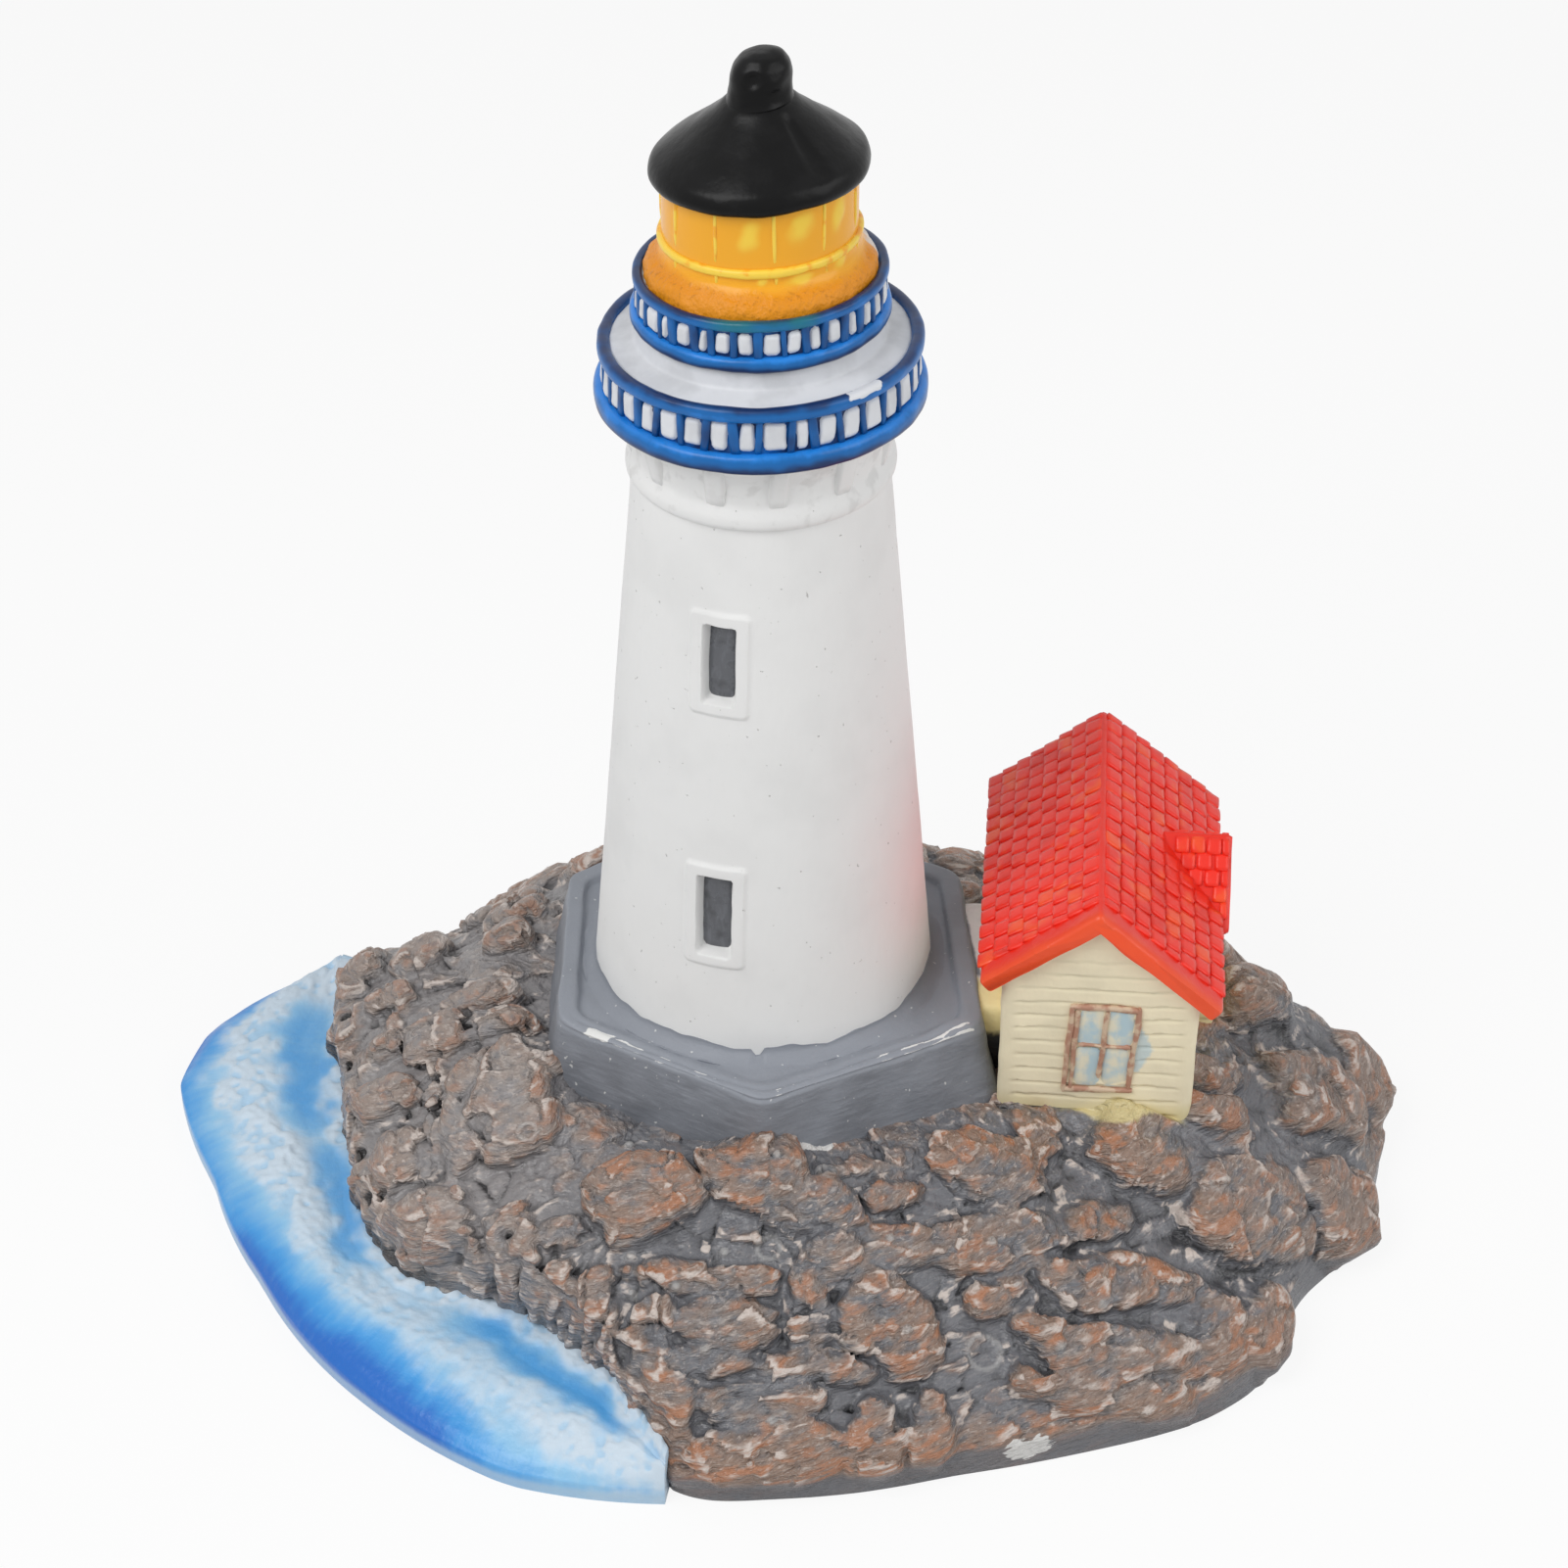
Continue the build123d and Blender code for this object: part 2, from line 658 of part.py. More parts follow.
# Cap
def build_cap():
    """Build the domed cap with its thick rounded rim."""
    brim = cap_level + cap_rim_height / 2
    under = cap_radius - cap_rim_height / 2
    rim = ThreePointArc((under, cap_level), (cap_radius, brim), (under, cap_level + cap_rim_height))
    shoulder = (0.62 * cap_radius, cap_level + 0.62 * cap_height)
    dome = ThreePointArc((under, cap_level + cap_rim_height), shoulder, (cap_crown_radius, vent_level))
    rest = Polyline((cap_crown_radius, vent_level), (0, vent_level), (0, cap_level), (under, cap_level))
    cap = revolve(Plane.XZ * make_face([rim, dome, rest]), Axis.Z)
    return cap + peg(cap_level) - socket(vent_level, vent_peg_radius, vent_peg_length)


def build_vent():
    """Build the round-topped vent on the cap's crown."""
    top = vent_level + vent_height
    spring = top - vent_radius
    corner = sin(radians(45)) * vent_radius
    crown = ThreePointArc((vent_radius, spring), (corner, spring + corner), (0, top))
    rest = Polyline((0, top), (0, vent_level), (vent_radius, vent_level), (vent_radius, spring))
    vent = revolve(Plane.XZ * make_face([crown, rest]), Axis.Z)
    return vent + peg(vent_level, vent_peg_radius, vent_peg_length)


# Cottage, in its own frame until it is set in place
def gable_prism(points, start, length):
    """Extrude a profile of the front gable back from a start along the cottage."""
    face = Plane.XZ.offset(-start) * make_face(Polyline(*points, close=True))
    return extrude(face, amount=-length)


def wing_prism(points, start, length):
    """Extrude a profile of the side wing out to the right from a start."""
    face = Plane.YZ.offset(start) * make_face(Polyline(*points, close=True))
    return extrude(face, amount=length)


def gable_outline():
    """Return the profile of the front gable wall."""
    return [
        (0, -cottage_pocket), (cottage_width, -cottage_pocket), (cottage_width, cottage_right_eave),
        (cottage_width / 2, cottage_apex), (0, cottage_left_eave),
    ]


def wall_forms():
    """Return the plain walls of the cottage and its side wing, in the cottage's frame."""
    main = gable_prism(gable_outline(), 0, cottage_length)
    wing = wing_prism([
        (wing_centre - wing_half_width, -cottage_pocket), (wing_centre + wing_half_width, -cottage_pocket),
        (wing_centre + wing_half_width, wing_eave), (wing_centre, wing_apex),
        (wing_centre - wing_half_width, wing_eave),
    ], cottage_width / 2, cottage_width / 2 + wing_depth)
    return main + wing


def board_grooves():
    """Return the grooves between the boards of the front, back and left walls."""
    grooves = []
    count = int(cottage_apex / board_pitch)
    long_side = cottage_length - 2 * corner_board
    for i in range(1, count):
        level = i * board_pitch
        left = corner_board
        right = cottage_width - corner_board
        if level > cottage_left_eave - corner_board:
            share = (level - cottage_left_eave + corner_board) / (cottage_apex - cottage_left_eave)
            left += share * (cottage_width / 2 - corner_board)
        if level > cottage_right_eave - corner_board:
            share = (level - cottage_right_eave + corner_board) / (cottage_apex - cottage_right_eave)
            right -= share * (cottage_width / 2 - corner_board)
        if right - left > 2 * corner_board:
            strip = Box(right - left, 2 * board_groove, board_groove)
            grooves.append(Pos((left + right) / 2, 0, level) * strip)
            grooves.append(Pos((left + right) / 2, cottage_length, level) * strip)
        if level < cottage_left_eave - corner_board:
            strip = Box(2 * board_groove, long_side, board_groove)
            grooves.append(Pos(0, cottage_length / 2, level) * strip)
    return grooves


def cottage_block():
    """Return the plain form that the cottage takes out of the rock."""
    return cottage_place() * wall_forms()


def window_opening(depth):
    """Return a block the size of the cottage's window, set into the front wall to a depth."""
    centre = (cottage_window_left + cottage_window_width / 2, cottage_window_sill + cottage_window_height / 2)
    block = Box(cottage_window_width, 2 * depth, cottage_window_height)
    return Pos(centre[0], 0, centre[1]) * block


def build_cottage_walls():
    """Build the boarded walls with the window's opening."""
    walls = wall_forms() - board_grooves() - window_opening(cottage_frame_depth)
    return cottage_place() * walls


def window_lights():
    """Return the four openings between the bars of the cottage's window."""
    wide = (cottage_window_width - 2 * cottage_frame_bar - cottage_muntin) / 2
    tall = (cottage_window_height - 2 * cottage_frame_bar - cottage_muntin) / 2
    lights = []
    for column in (0, 1):
        for row in (0, 1):
            x = cottage_window_left + cottage_frame_bar + wide / 2 + column * (wide + cottage_muntin)
            z = cottage_window_sill + cottage_frame_bar + tall / 2 + row * (tall + cottage_muntin)
            lights.append((x, z, wide, tall))
    return lights


def build_window_frame():
    """Build the window's frame with its crossing bars, a little proud of the boards."""
    proud = Pos(0, (cottage_frame_depth - cottage_frame_relief) / 2, 0)
    wide = cottage_window_width - 2 * glue_gap
    tall = cottage_window_height - 2 * glue_gap
    frame = Box(wide, cottage_frame_depth + cottage_frame_relief, tall)
    middle = (cottage_window_left + cottage_window_width / 2, cottage_window_sill + cottage_window_height / 2)
    frame = proud * Pos(middle[0], 0, middle[1]) * frame
    for x, z, light_wide, light_tall in window_lights():
        frame -= Pos(x, 0, z) * Box(light_wide, 4 * cottage_frame_depth, light_tall)
    return cottage_place() * frame


def build_window_panes():
    """Build the four panes, bedded on the back of the opening between the bars."""
    panes = []
    for x, z, wide, tall in window_lights():
        pane = Box(wide - 2 * glue_gap, cottage_pane_depth, tall - 2 * glue_gap)
        panes.append(cottage_place() * Pos(x, cottage_frame_depth - cottage_pane_depth / 2, z) * pane)
    return panes


def roof_slope(eave, apex, courses):
    """Return the stepped outside of one roof slope, from its eave up to its apex."""
    run = apex[0] - eave[0]
    climb = apex[1] - eave[1]
    size = hypot(run, climb)
    sign = 1 if run > 0 else -1
    lift = (-sign * climb / size, abs(run) / size)
    steps = []
    for i in range(courses):
        low = (eave[0] + run * i / courses, eave[1] + climb * i / courses)
        high = (eave[0] + run * (i + 1) / courses, eave[1] + climb * (i + 1) / courses)
        thick = roof_thickness + roof_course_step
        steps.append((low[0] + lift[0] * thick, low[1] + lift[1] * thick))
        steps.append((high[0] + lift[0] * roof_thickness, high[1] + lift[1] * roof_thickness))
    return steps


def roof_profile(left_eave, apex, right_eave, overhang, courses):
    """Return the closed profile of a pitched roof that lies on two wall slopes."""
    left_fall = (apex[1] - left_eave[1]) / (apex[0] - left_eave[0])
    right_fall = (apex[1] - right_eave[1]) / (right_eave[0] - apex[0])
    left_tip = (left_eave[0] - overhang, left_eave[1] - overhang * left_fall)
    right_tip = (right_eave[0] + overhang, right_eave[1] - overhang * right_fall)
    left = roof_slope(left_tip, apex, courses)[:-1]
    right = list(reversed(roof_slope(right_tip, apex, courses)[:-1]))
    ridge = (apex[0], apex[1] + roof_thickness * hypot(1, (left_fall + right_fall) / 2) + roof_course_step)
    return [left_tip] + left + [ridge] + right + [right_tip, apex]


def build_roof():
    """Build the roof in stepped courses, with the cross gable over the side wing."""
    main = gable_prism(
        roof_profile(
            (0, cottage_left_eave), (cottage_width / 2, cottage_apex),
            (cottage_width, cottage_right_eave), roof_overhang, roof_courses,
        ),
        -roof_front_overhang, cottage_length + 2 * roof_front_overhang,
    )
    cross = wing_prism(
        roof_profile(
            (wing_centre - wing_half_width, wing_eave), (wing_centre, wing_apex),
            (wing_centre + wing_half_width, wing_eave), wing_roof_overhang, wing_roof_courses,
        ),
        cottage_width / 2, cottage_width / 2 + wing_depth + wing_roof_overhang,
    )
    inside = gable_prism(gable_outline(), 0, cottage_length)
    return cottage_place() * (main + (cross - inside) - wall_forms())


# Link between the terrace and the cottage
def link_block():
    """Return the low passage, cut to the terrace's battered side and the cottage's wall."""
    wide = cottage_gap + cottage_width / 2 + terrace_foot_radius - terrace_radius + kerb_width
    side = terrace_radius * cos(radians(30))
    tall = link_top - terrace_seat
    centre = (side + wide / 2 - kerb_width / 2, (link_to - link_from) / 2, terrace_seat + tall / 2)
    block = Pos(*centre) * Box(wide, link_from + link_to, tall)
    return block - terrace_block() - cottage_block()


# Write one file for each casting
parts = {
    "rock_island": build_rock(),
    "sea_apron": build_sea(),
    "terrace_plinth": build_terrace(),
    "tower_shaft": build_tower(),
    "tower_window_upper": build_tower_pane(*tower_windows()[0]),
    "tower_window_lower": build_tower_pane(*tower_windows()[1]),
    "corbel_ring": build_corbel_ring(),
    "lower_gallery_drum": build_lower_drum(),
    "lower_gallery_rail": build_lower_rail(),
    "lower_gallery_balusters": Compound(build_lower_balusters()),
    "lower_gallery_handrail": build_lower_handrail(),
    "upper_gallery_drum": build_upper_drum(),
    "upper_gallery_rail": build_upper_rail(),
    "upper_gallery_balusters": Compound(build_upper_balusters()),
    "upper_gallery_handrail": build_upper_handrail(),
    "lantern_room": build_lantern_room(),
    "lantern_band": build_lantern_band(),
    "lantern_bars": Compound(build_lantern_bars()),
    "lantern_cap": build_cap(),
    "cap_vent": build_vent(),
    "cottage_walls": build_cottage_walls(),
    "cottage_roof": build_roof(),
    "cottage_window_frame": build_window_frame(),
    "cottage_window_panes": Compound(build_window_panes()),
    "link_passage": link_block(),
}
os.makedirs("parts", exist_ok=True)
for name, shape in parts.items():
    export_step(shape, f"parts/{name}.step")
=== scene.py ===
from math import atan2, cos, degrees, hypot, pi, radians, sin, tan

import bmesh
import bpy
import numpy as np
from bpy.props import FloatProperty, FloatVectorProperty, IntProperty, PointerProperty
from mathutils import Matrix, Vector
from mathutils.bvhtree import BVHTree


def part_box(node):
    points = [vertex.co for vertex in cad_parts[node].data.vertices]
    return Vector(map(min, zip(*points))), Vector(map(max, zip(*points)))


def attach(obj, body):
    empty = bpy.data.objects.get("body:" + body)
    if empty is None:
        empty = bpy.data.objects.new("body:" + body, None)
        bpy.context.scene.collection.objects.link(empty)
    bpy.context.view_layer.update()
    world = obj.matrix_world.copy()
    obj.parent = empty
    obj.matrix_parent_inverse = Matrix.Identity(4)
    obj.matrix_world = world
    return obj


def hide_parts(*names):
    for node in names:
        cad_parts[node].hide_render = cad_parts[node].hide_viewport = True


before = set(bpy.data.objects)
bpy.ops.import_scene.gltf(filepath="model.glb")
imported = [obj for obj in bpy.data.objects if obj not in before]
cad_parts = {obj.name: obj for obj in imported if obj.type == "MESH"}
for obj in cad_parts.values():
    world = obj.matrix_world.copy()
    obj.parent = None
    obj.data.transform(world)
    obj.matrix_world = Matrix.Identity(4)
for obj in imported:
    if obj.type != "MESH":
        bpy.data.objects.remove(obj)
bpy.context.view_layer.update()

bl_info = {
    "name": "Painted Lighthouse Figurine",
    "version": (1, 0, 0),
    "blender": (4, 5, 0),
    "location": "View3D > Sidebar > Lighthouse",
    "description": "Builds the cast and painted surfaces of a small lighthouse ornament over its frame",
    "category": "Add Mesh",
}

# All shapes are worked out in millimetres and turned into metres when a mesh is made
MM = 0.001


# Properties
def paint_colour(name, description, red, green, blue):
    """Return a colour property from display values between 0 and 255."""
    linear = [((value / 255 + 0.055) / 1.055) ** 2.4 for value in (red, green, blue)]
    return FloatVectorProperty(
        name=name, description=description, default=linear, size=3, min=0, max=1, subtype="COLOR",
    )


def length(name, description, millimetres):
    """Return a length property, in metres, from millimetres."""
    return FloatProperty(
        name=name, description=description, default=millimetres * MM, unit="LENGTH", precision=5,
    )


def count(name, description, number):
    """Return a whole-number property."""
    return IntProperty(name=name, description=description, default=number, min=1)


class RockLook(bpy.types.PropertyGroup):
    """Shapes and paints of the rock island."""

    sway: length("Sway", "How far the stones' outlines wander from the CAD ones", 0.5)
    facet: length("Facet", "Height of a millimetre-wide chiselled facet", 0.11)
    wrinkle: length("Wrinkle", "Height of the fine wrinkles", 0.13)
    crack: length("Crack", "Depth of the cracks between facets", 0.1)
    ledge: length("Ledge", "Height of the layered ledges on the front slabs", 0.36)
    ledge_pitch: length("Ledge pitch", "Distance between two layered ledges", 1.5)
    gouge: length("Gouge", "Depth of the upright gouges at the lower left", 0.55)
    slate: paint_colour("Slate", "Grey paint in the joints and on the foot", 111, 112, 117)
    stone: paint_colour("Stone", "Lighter grey paint over the stones", 132, 124, 120)
    brown: paint_colour("Brown", "Brown paint washed over the stones", 148, 122, 106)
    rust: paint_colour("Rust", "Warmer paint in patches of the brown", 182, 122, 86)
    pale: paint_colour("Pale edge", "Pale paint caught on the sharpest edges", 214, 202, 194)
    bead: paint_colour("Bead", "Whitish paint on the bubbles", 190, 188, 186)


class SeaLook(bpy.types.PropertyGroup):
    """Shapes and paints of the strip of sea."""

    foam_lump: length("Foam lump", "Height of the lumps in the foam", 0.42)
    deep: paint_colour("Deep water", "Blue along the rim", 22, 108, 202)
    middle: paint_colour("Middle water", "Blue inside the rim and in the pools", 68, 160, 230)
    shallow: paint_colour("Shallow water", "Pale blue brushed out into the foam", 146, 200, 237)
    foam: paint_colour("Foam", "White of the foam", 212, 226, 238)
    lip: paint_colour("Lip", "Pale blue along the foot of the rim", 176, 203, 224)


class TerraceLook(bpy.types.PropertyGroup):
    """Shapes and paints of the terrace."""

    grey: paint_colour("Grey", "Paint of the terrace", 130, 134, 142)
    chip: paint_colour("Chip", "White casting where the paint is chipped", 232, 232, 230)
    front_kerb: length("Front kerb", "Height of the kerb along the two front sides", 0.35)


class TowerLook(bpy.types.PropertyGroup):
    """Shapes and paints of the tower and its collar."""

    white: paint_colour("White", "Paint of the tower, its collar and the link", 236, 236, 235)
    pane: paint_colour("Pane", "Paint of the tower's windows", 92, 94, 99)
    lump: length("Lump", "Height of the unevenness in the tower's surface", 0.03)


class GalleryLook(bpy.types.PropertyGroup):
    """Shapes and paints of the two galleries."""

    white: paint_colour("White", "Paint of the panels and decks", 224, 226, 230)
    blue: paint_colour("Blue", "Pearly paint of the rails and balusters", 6, 102, 176)
    dark: paint_colour("Dark blue", "Shaded places in the blue paint", 6, 42, 92)
    teal: paint_colour("Teal", "Green-blue paint at the front of the upper handrail", 24, 118, 128)
    lump: length("Lump", "Height of the unevenness in the rails", 0.06)
    slant: FloatProperty(
        name="Slant", description="Most that a baluster leans", default=radians(7), subtype="ANGLE",
    )


class LanternLook(bpy.types.PropertyGroup):
    """Shapes and paints of the lantern, its cap and the vent."""

    amber: paint_colour("Amber", "Paint of the lantern room", 246, 174, 36)
    skirt: paint_colour("Skirt", "Deeper paint at the lantern's foot", 230, 146, 20)
    yellow: paint_colour("Yellow", "Paint of the bars, the band and the dabs in the panes", 250, 214, 74)
    black: paint_colour("Black", "Paint of the cap and the vent", 6, 6, 7)
    bare: paint_colour("Bare", "White left showing behind the skirt", 232, 224, 218)


class CottageLook(bpy.types.PropertyGroup):
    """Shapes and paints of the cottage."""

    cream: paint_colour("Cream", "Paint of the walls", 247, 236, 204)
    sand: paint_colour("Sand", "Yellower paint at the foot of the walls", 228, 214, 162)
    red: paint_colour("Red", "Paint of the roof", 249, 50, 32)
    orange: paint_colour("Orange", "Thin paint on the verges and tile edges", 252, 108, 48)
    brown: paint_colour("Brown", "Brushed paint of the window frame", 182, 136, 114)
    blue: paint_colour("Blue", "Pale paint of the window panes", 188, 212, 220)
    tiles: count("Tiles", "Tiles in a course", 15)
    courses: count("Courses", "Courses on each slope", 8)


class StageLook(bpy.types.PropertyGroup):
    """Light, floor and camera."""

    floor: paint_colour("Floor", "Colour of the floor and the backdrop", 255, 255, 255)
    key: FloatProperty(
        name="Key lamp", description="Power of the large lamp at the upper left", default=0.72, unit="POWER",
    )
    fill: FloatProperty(
        name="Fill lamp", description="Power of the large lamp at the right", default=0.32, unit="POWER",
    )
    ambient: FloatProperty(name="Ambient", description="Light from all round", default=0.40, min=0)
    lens: FloatProperty(
        name="Lens", description="Focal length of the camera", default=80.95, unit="CAMERA",
    )


class FigurineLook(bpy.types.PropertyGroup):
    """Every shape and paint that can be changed."""

    rock: PointerProperty(type=RockLook)
    sea: PointerProperty(type=SeaLook)
    terrace: PointerProperty(type=TerraceLook)
    tower: PointerProperty(type=TowerLook)
    gallery: PointerProperty(type=GalleryLook)
    lantern: PointerProperty(type=LanternLook)
    cottage: PointerProperty(type=CottageLook)
    stage: PointerProperty(type=StageLook)


# Nodes
class Wire:
    """One output of a node, so that maths on values is written as plain expressions."""

    def __init__(self, bench, socket):
        self.bench = bench
        self.socket = socket

    def __add__(self, other):
        return self.bench.maths("ADD", self, other)

    def __radd__(self, other):
        return self.bench.maths("ADD", other, self)

    def __sub__(self, other):
        return self.bench.maths("SUBTRACT", self, other)

    def __rsub__(self, other):
        return self.bench.maths("SUBTRACT", other, self)

    def __mul__(self, other):
        return self.bench.maths("MULTIPLY", self, other)

    def __rmul__(self, other):
        return self.bench.maths("MULTIPLY", other, self)

    def __truediv__(self, other):
        return self.bench.maths("DIVIDE", self, other)


class Bench:
    """A node tree to which nodes are added by short calls."""

    def __init__(self, tree):
        self.tree = tree

    def feed(self, socket, value):
        """Link a wire to a socket, or set the socket's own value."""
        if isinstance(value, Wire):
            self.tree.links.new(value.socket, socket)
        elif socket.type == "RGBA":
            socket.default_value = (*value[:3], 1)
        else:
            socket.default_value = value

    def node(self, kind, settings=None, inputs=None, out=0):
        """Add a node, set its settings and then its sockets, and return one of its outputs."""
        made = self.tree.nodes.new(kind)
        for key, value in (settings or {}).items():
            setattr(made, key, value)
        for key, value in (inputs or {}).items():
            self.feed(made.inputs[key], value)
        return Wire(self, made.outputs[out]) if made.outputs else made

    def maths(self, operation, first, second):
        """Add a Math node."""
        return self.node("ShaderNodeMath", {"operation": operation}, {0: first, 1: second})


def tone(colour, factor, lift=0.0):
    """Return a darker or a lighter tone of a colour."""
    return tuple(min(1.0, factor * value + lift) for value in colour)


class Finish(Bench):
    """A painted finish: one material with a single Principled shader."""

    def __init__(self, name):
        self.material = bpy.data.materials.new(name)
        self.material.use_nodes = True
        super().__init__(self.material.node_tree)
        self.tree.nodes.clear()
        self.surface = self.tree.nodes.new("ShaderNodeBsdfPrincipled")
        self.node("ShaderNodeOutputMaterial", {}, {"Surface": Wire(self, self.surface.outputs[0])})
        place = self.node("ShaderNodeTexCoord", out="Object")
        self.place = self.node("ShaderNodeVectorMath", {"operation": "SCALE"}, {0: place, "Scale": 1 / MM})

    def noise(self, size, detail=2.0, stretch=None, place=None):
        """Return soft noise around 0.5 whose lumps are about one size across, in millimetres."""
        place = place or self.place
        if stretch:
            place = self.node("ShaderNodeMapping", {}, {"Vector": place, "Scale": stretch})
        inputs = {"Vector": place, "Scale": 1 / size, "Detail": detail}
        return self.node("ShaderNodeTexNoise", {}, inputs)

    def step(self, value, low, high):
        """Return a smooth step from 0 at low to 1 at high."""
        inputs = {"Value": value, "From Min": low, "From Max": high}
        return self.node("ShaderNodeMapRange", {"interpolation_type": "SMOOTHSTEP"}, inputs)

    def mix(self, under, over, cover):
        """Return one colour laid over another."""
        inputs = {0: cover, 6: under, 7: over}
        return self.node("ShaderNodeMix", {"data_type": "RGBA"}, inputs, 2)

    def start(self, under, over, cover):
        """Begin the paint with one colour laid over another."""
        self.colour = self.mix(under, over, cover)

    def lay(self, over, cover):
        """Lay a colour over all that is painted so far."""
        self.colour = self.mix(self.colour, over, cover)

    def field(self, name):
        """Return a value that the mesh carries."""
        return self.node("ShaderNodeAttribute", {"attribute_name": name}, out="Fac")

    def axes(self):
        """Return the three object coordinates, in millimetres."""
        return [self.node("ShaderNodeSeparateXYZ", {}, {0: self.place}, letter) for letter in "XYZ"]

    def done(self, roughness, relief, depth, **constants):
        """Connect the paint, the roughness and the bump, set the constants and return the material."""
        self.feed(self.surface.inputs["Base Color"], self.colour)
        self.feed(self.surface.inputs["Roughness"], roughness)
        bump = self.node("ShaderNodeBump", {}, {"Height": relief, "Strength": 1.0, "Distance": depth * MM})
        self.feed(self.surface.inputs["Normal"], bump)
        for key, value in constants.items():
            self.surface.inputs[key.replace("_", " ")].default_value = value
        return self.material


# Shapes
def span(node):
    """Return the lowest and the highest corner of a CAD node, in millimetres."""
    low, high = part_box(node)
    return np.array(low) / MM, np.array(high) / MM


def cad_tree(node):
    """Return a search tree over a CAD node's surface, in millimetres."""
    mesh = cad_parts[node].data
    corners = [vertex.co / MM for vertex in mesh.vertices]
    return BVHTree.FromPolygons(corners, [tuple(face.vertices) for face in mesh.polygons])


def lattice(cells, seed):
    """Return a repeatable number between -1 and 1 for each whole-number cell."""
    mixed = np.sin(cells @ np.array([127.1, 311.7, 74.7]) + seed * 53.3) * 43758.5453
    return 2 * (mixed - np.floor(mixed)) - 1


def cloud(points, size, seed=0):
    """Return smooth noise between -1 and 1 whose lumps are about one size across."""
    scaled = np.asarray(points, float) / size
    cell = np.floor(scaled)
    part = scaled - cell
    blend = part * part * (3 - 2 * part)
    total = 0
    for corner in np.ndindex(2, 2, 2):
        weight = np.prod(np.where(corner, blend, 1 - blend), axis=-1)
        total = total + weight * lattice(cell + corner, seed)
    return total


def jostle(points, size, seed):
    """Return a smooth random shift, up to 1 each way, for every point."""
    return np.stack([cloud(points, size, seed + axis) for axis in range(3)], axis=-1)


def ease(value, low, high):
    """Return a smooth step from 0 at low to 1 at high."""
    share = np.clip((value - low) / (high - low), 0, 1)
    return share * share * (3 - 2 * share)


def between(value, low, high, soft):
    """Return 1 inside a range and 0 outside it, with soft ends."""
    return ease(value, low - soft, low + soft) * ease(value, high + soft, high - soft)


def table(value, pairs):
    """Return the straight-line reading of a table of pairs."""
    return np.interp(value, [pair[0] for pair in pairs], [pair[1] for pair in pairs])


def soften(profile, step, passes):
    """Resample a line evenly and round its corners, its ends held."""
    line = np.array(profile, float)
    travel = np.concatenate([[0], np.cumsum(np.linalg.norm(np.diff(line, axis=0), axis=1))])
    even = np.linspace(0, travel[-1], max(3, int(round(travel[-1] / step)) + 1))
    line = np.stack([np.interp(even, travel, line[:, axis]) for axis in range(line.shape[1])], axis=1)
    for _ in range(passes):
        line[1:-1] = (line[:-2] + 2 * line[1:-1] + line[2:]) / 4
    return line


def ring_bearings(number):
    """Return evenly spaced bearings all round, in degrees from the front."""
    return np.arange(number) * 360 / number - 180


def polar(reach, turn, height):
    """Return points at a turn from the front, in radians, and a reach from the tower's axis."""
    return np.stack([reach * np.sin(turn), -reach * np.cos(turn), height], axis=-1)


def lathe(profile, bearings):
    """Return a grid of points: a profile of reach and height turned about the tower's axis."""
    turn = np.radians(bearings)[None, :]
    reach = profile[:, :1]
    height = np.broadcast_to(profile[:, 1:], (len(profile), len(bearings)))
    return polar(reach, turn, height)


def at_bearing(bearing, reach, height):
    """Return a point at a bearing from the front and a reach from the tower's axis."""
    turn = radians(bearing)
    return np.array([reach * sin(turn), -reach * cos(turn), height])


def normals(grid):
    """Return outward normals of a grid whose rows climb and whose closed columns run anticlockwise."""
    along = np.gradient(grid, axis=0)
    across = np.roll(grid, -1, axis=1) - np.roll(grid, 1, axis=1)
    out = np.cross(across, along)
    return out / np.maximum(np.linalg.norm(out, axis=-1, keepdims=True), 1e-9)


def raised(grid, push):
    """Return a grid whose points are pushed out along its normals."""
    return grid + normals(grid) * push[..., None]


def relax(grid, passes):
    """Smooth a grid with closed columns, its first and last rows held."""
    grid = grid.copy()
    for _ in range(passes):
        sides = (np.roll(grid, 1, axis=1) + np.roll(grid, -1, axis=1)) / 2
        ends = (grid[:-2] + grid[2:]) / 2
        grid[1:-1] = grid[1:-1] / 2 + (sides[1:-1] + ends) / 4
    return grid


def blur(grid, reach, passes):
    """Average a grid with closed columns over its neighbours, its slope carried on past its ends."""
    span_size = 2 * reach + 1
    margins = ((reach, reach),) + ((0, 0),) * (grid.ndim - 1)
    for _ in range(passes):
        grid = sum(np.roll(grid, step, axis=1) for step in range(-reach, reach + 1)) / span_size
        padded = np.pad(grid, margins, mode="reflect", reflect_type="odd")
        grid = sum(padded[step:step + len(grid)] for step in range(span_size)) / span_size
    return grid


def facets(points, size, seed):
    """Return each point's distance from the nearest crack between rough cells, and its cell's tilted face."""
    scaled = points / size
    base = np.floor(scaled)
    nearest = np.full(points.shape[:-1], 9.0)
    second = nearest.copy()
    face = np.zeros_like(nearest)
    for corner in np.ndindex(3, 3, 3):
        cell = base + corner - 1
        chance = [lattice(cell, seed + number) for number in range(6)]
        away = scaled - cell - 0.5 - 0.42 * np.stack(chance[:3], axis=-1)
        distance = np.linalg.norm(away, axis=-1)
        tilt = np.sum(away * np.stack(chance[3:], axis=-1), axis=-1)
        closer = distance < nearest
        second = np.where(closer, nearest, np.minimum(second, distance))
        face = np.where(closer, tilt, face)
        nearest = np.where(closer, distance, nearest)
    return (second - nearest) * size, face * size


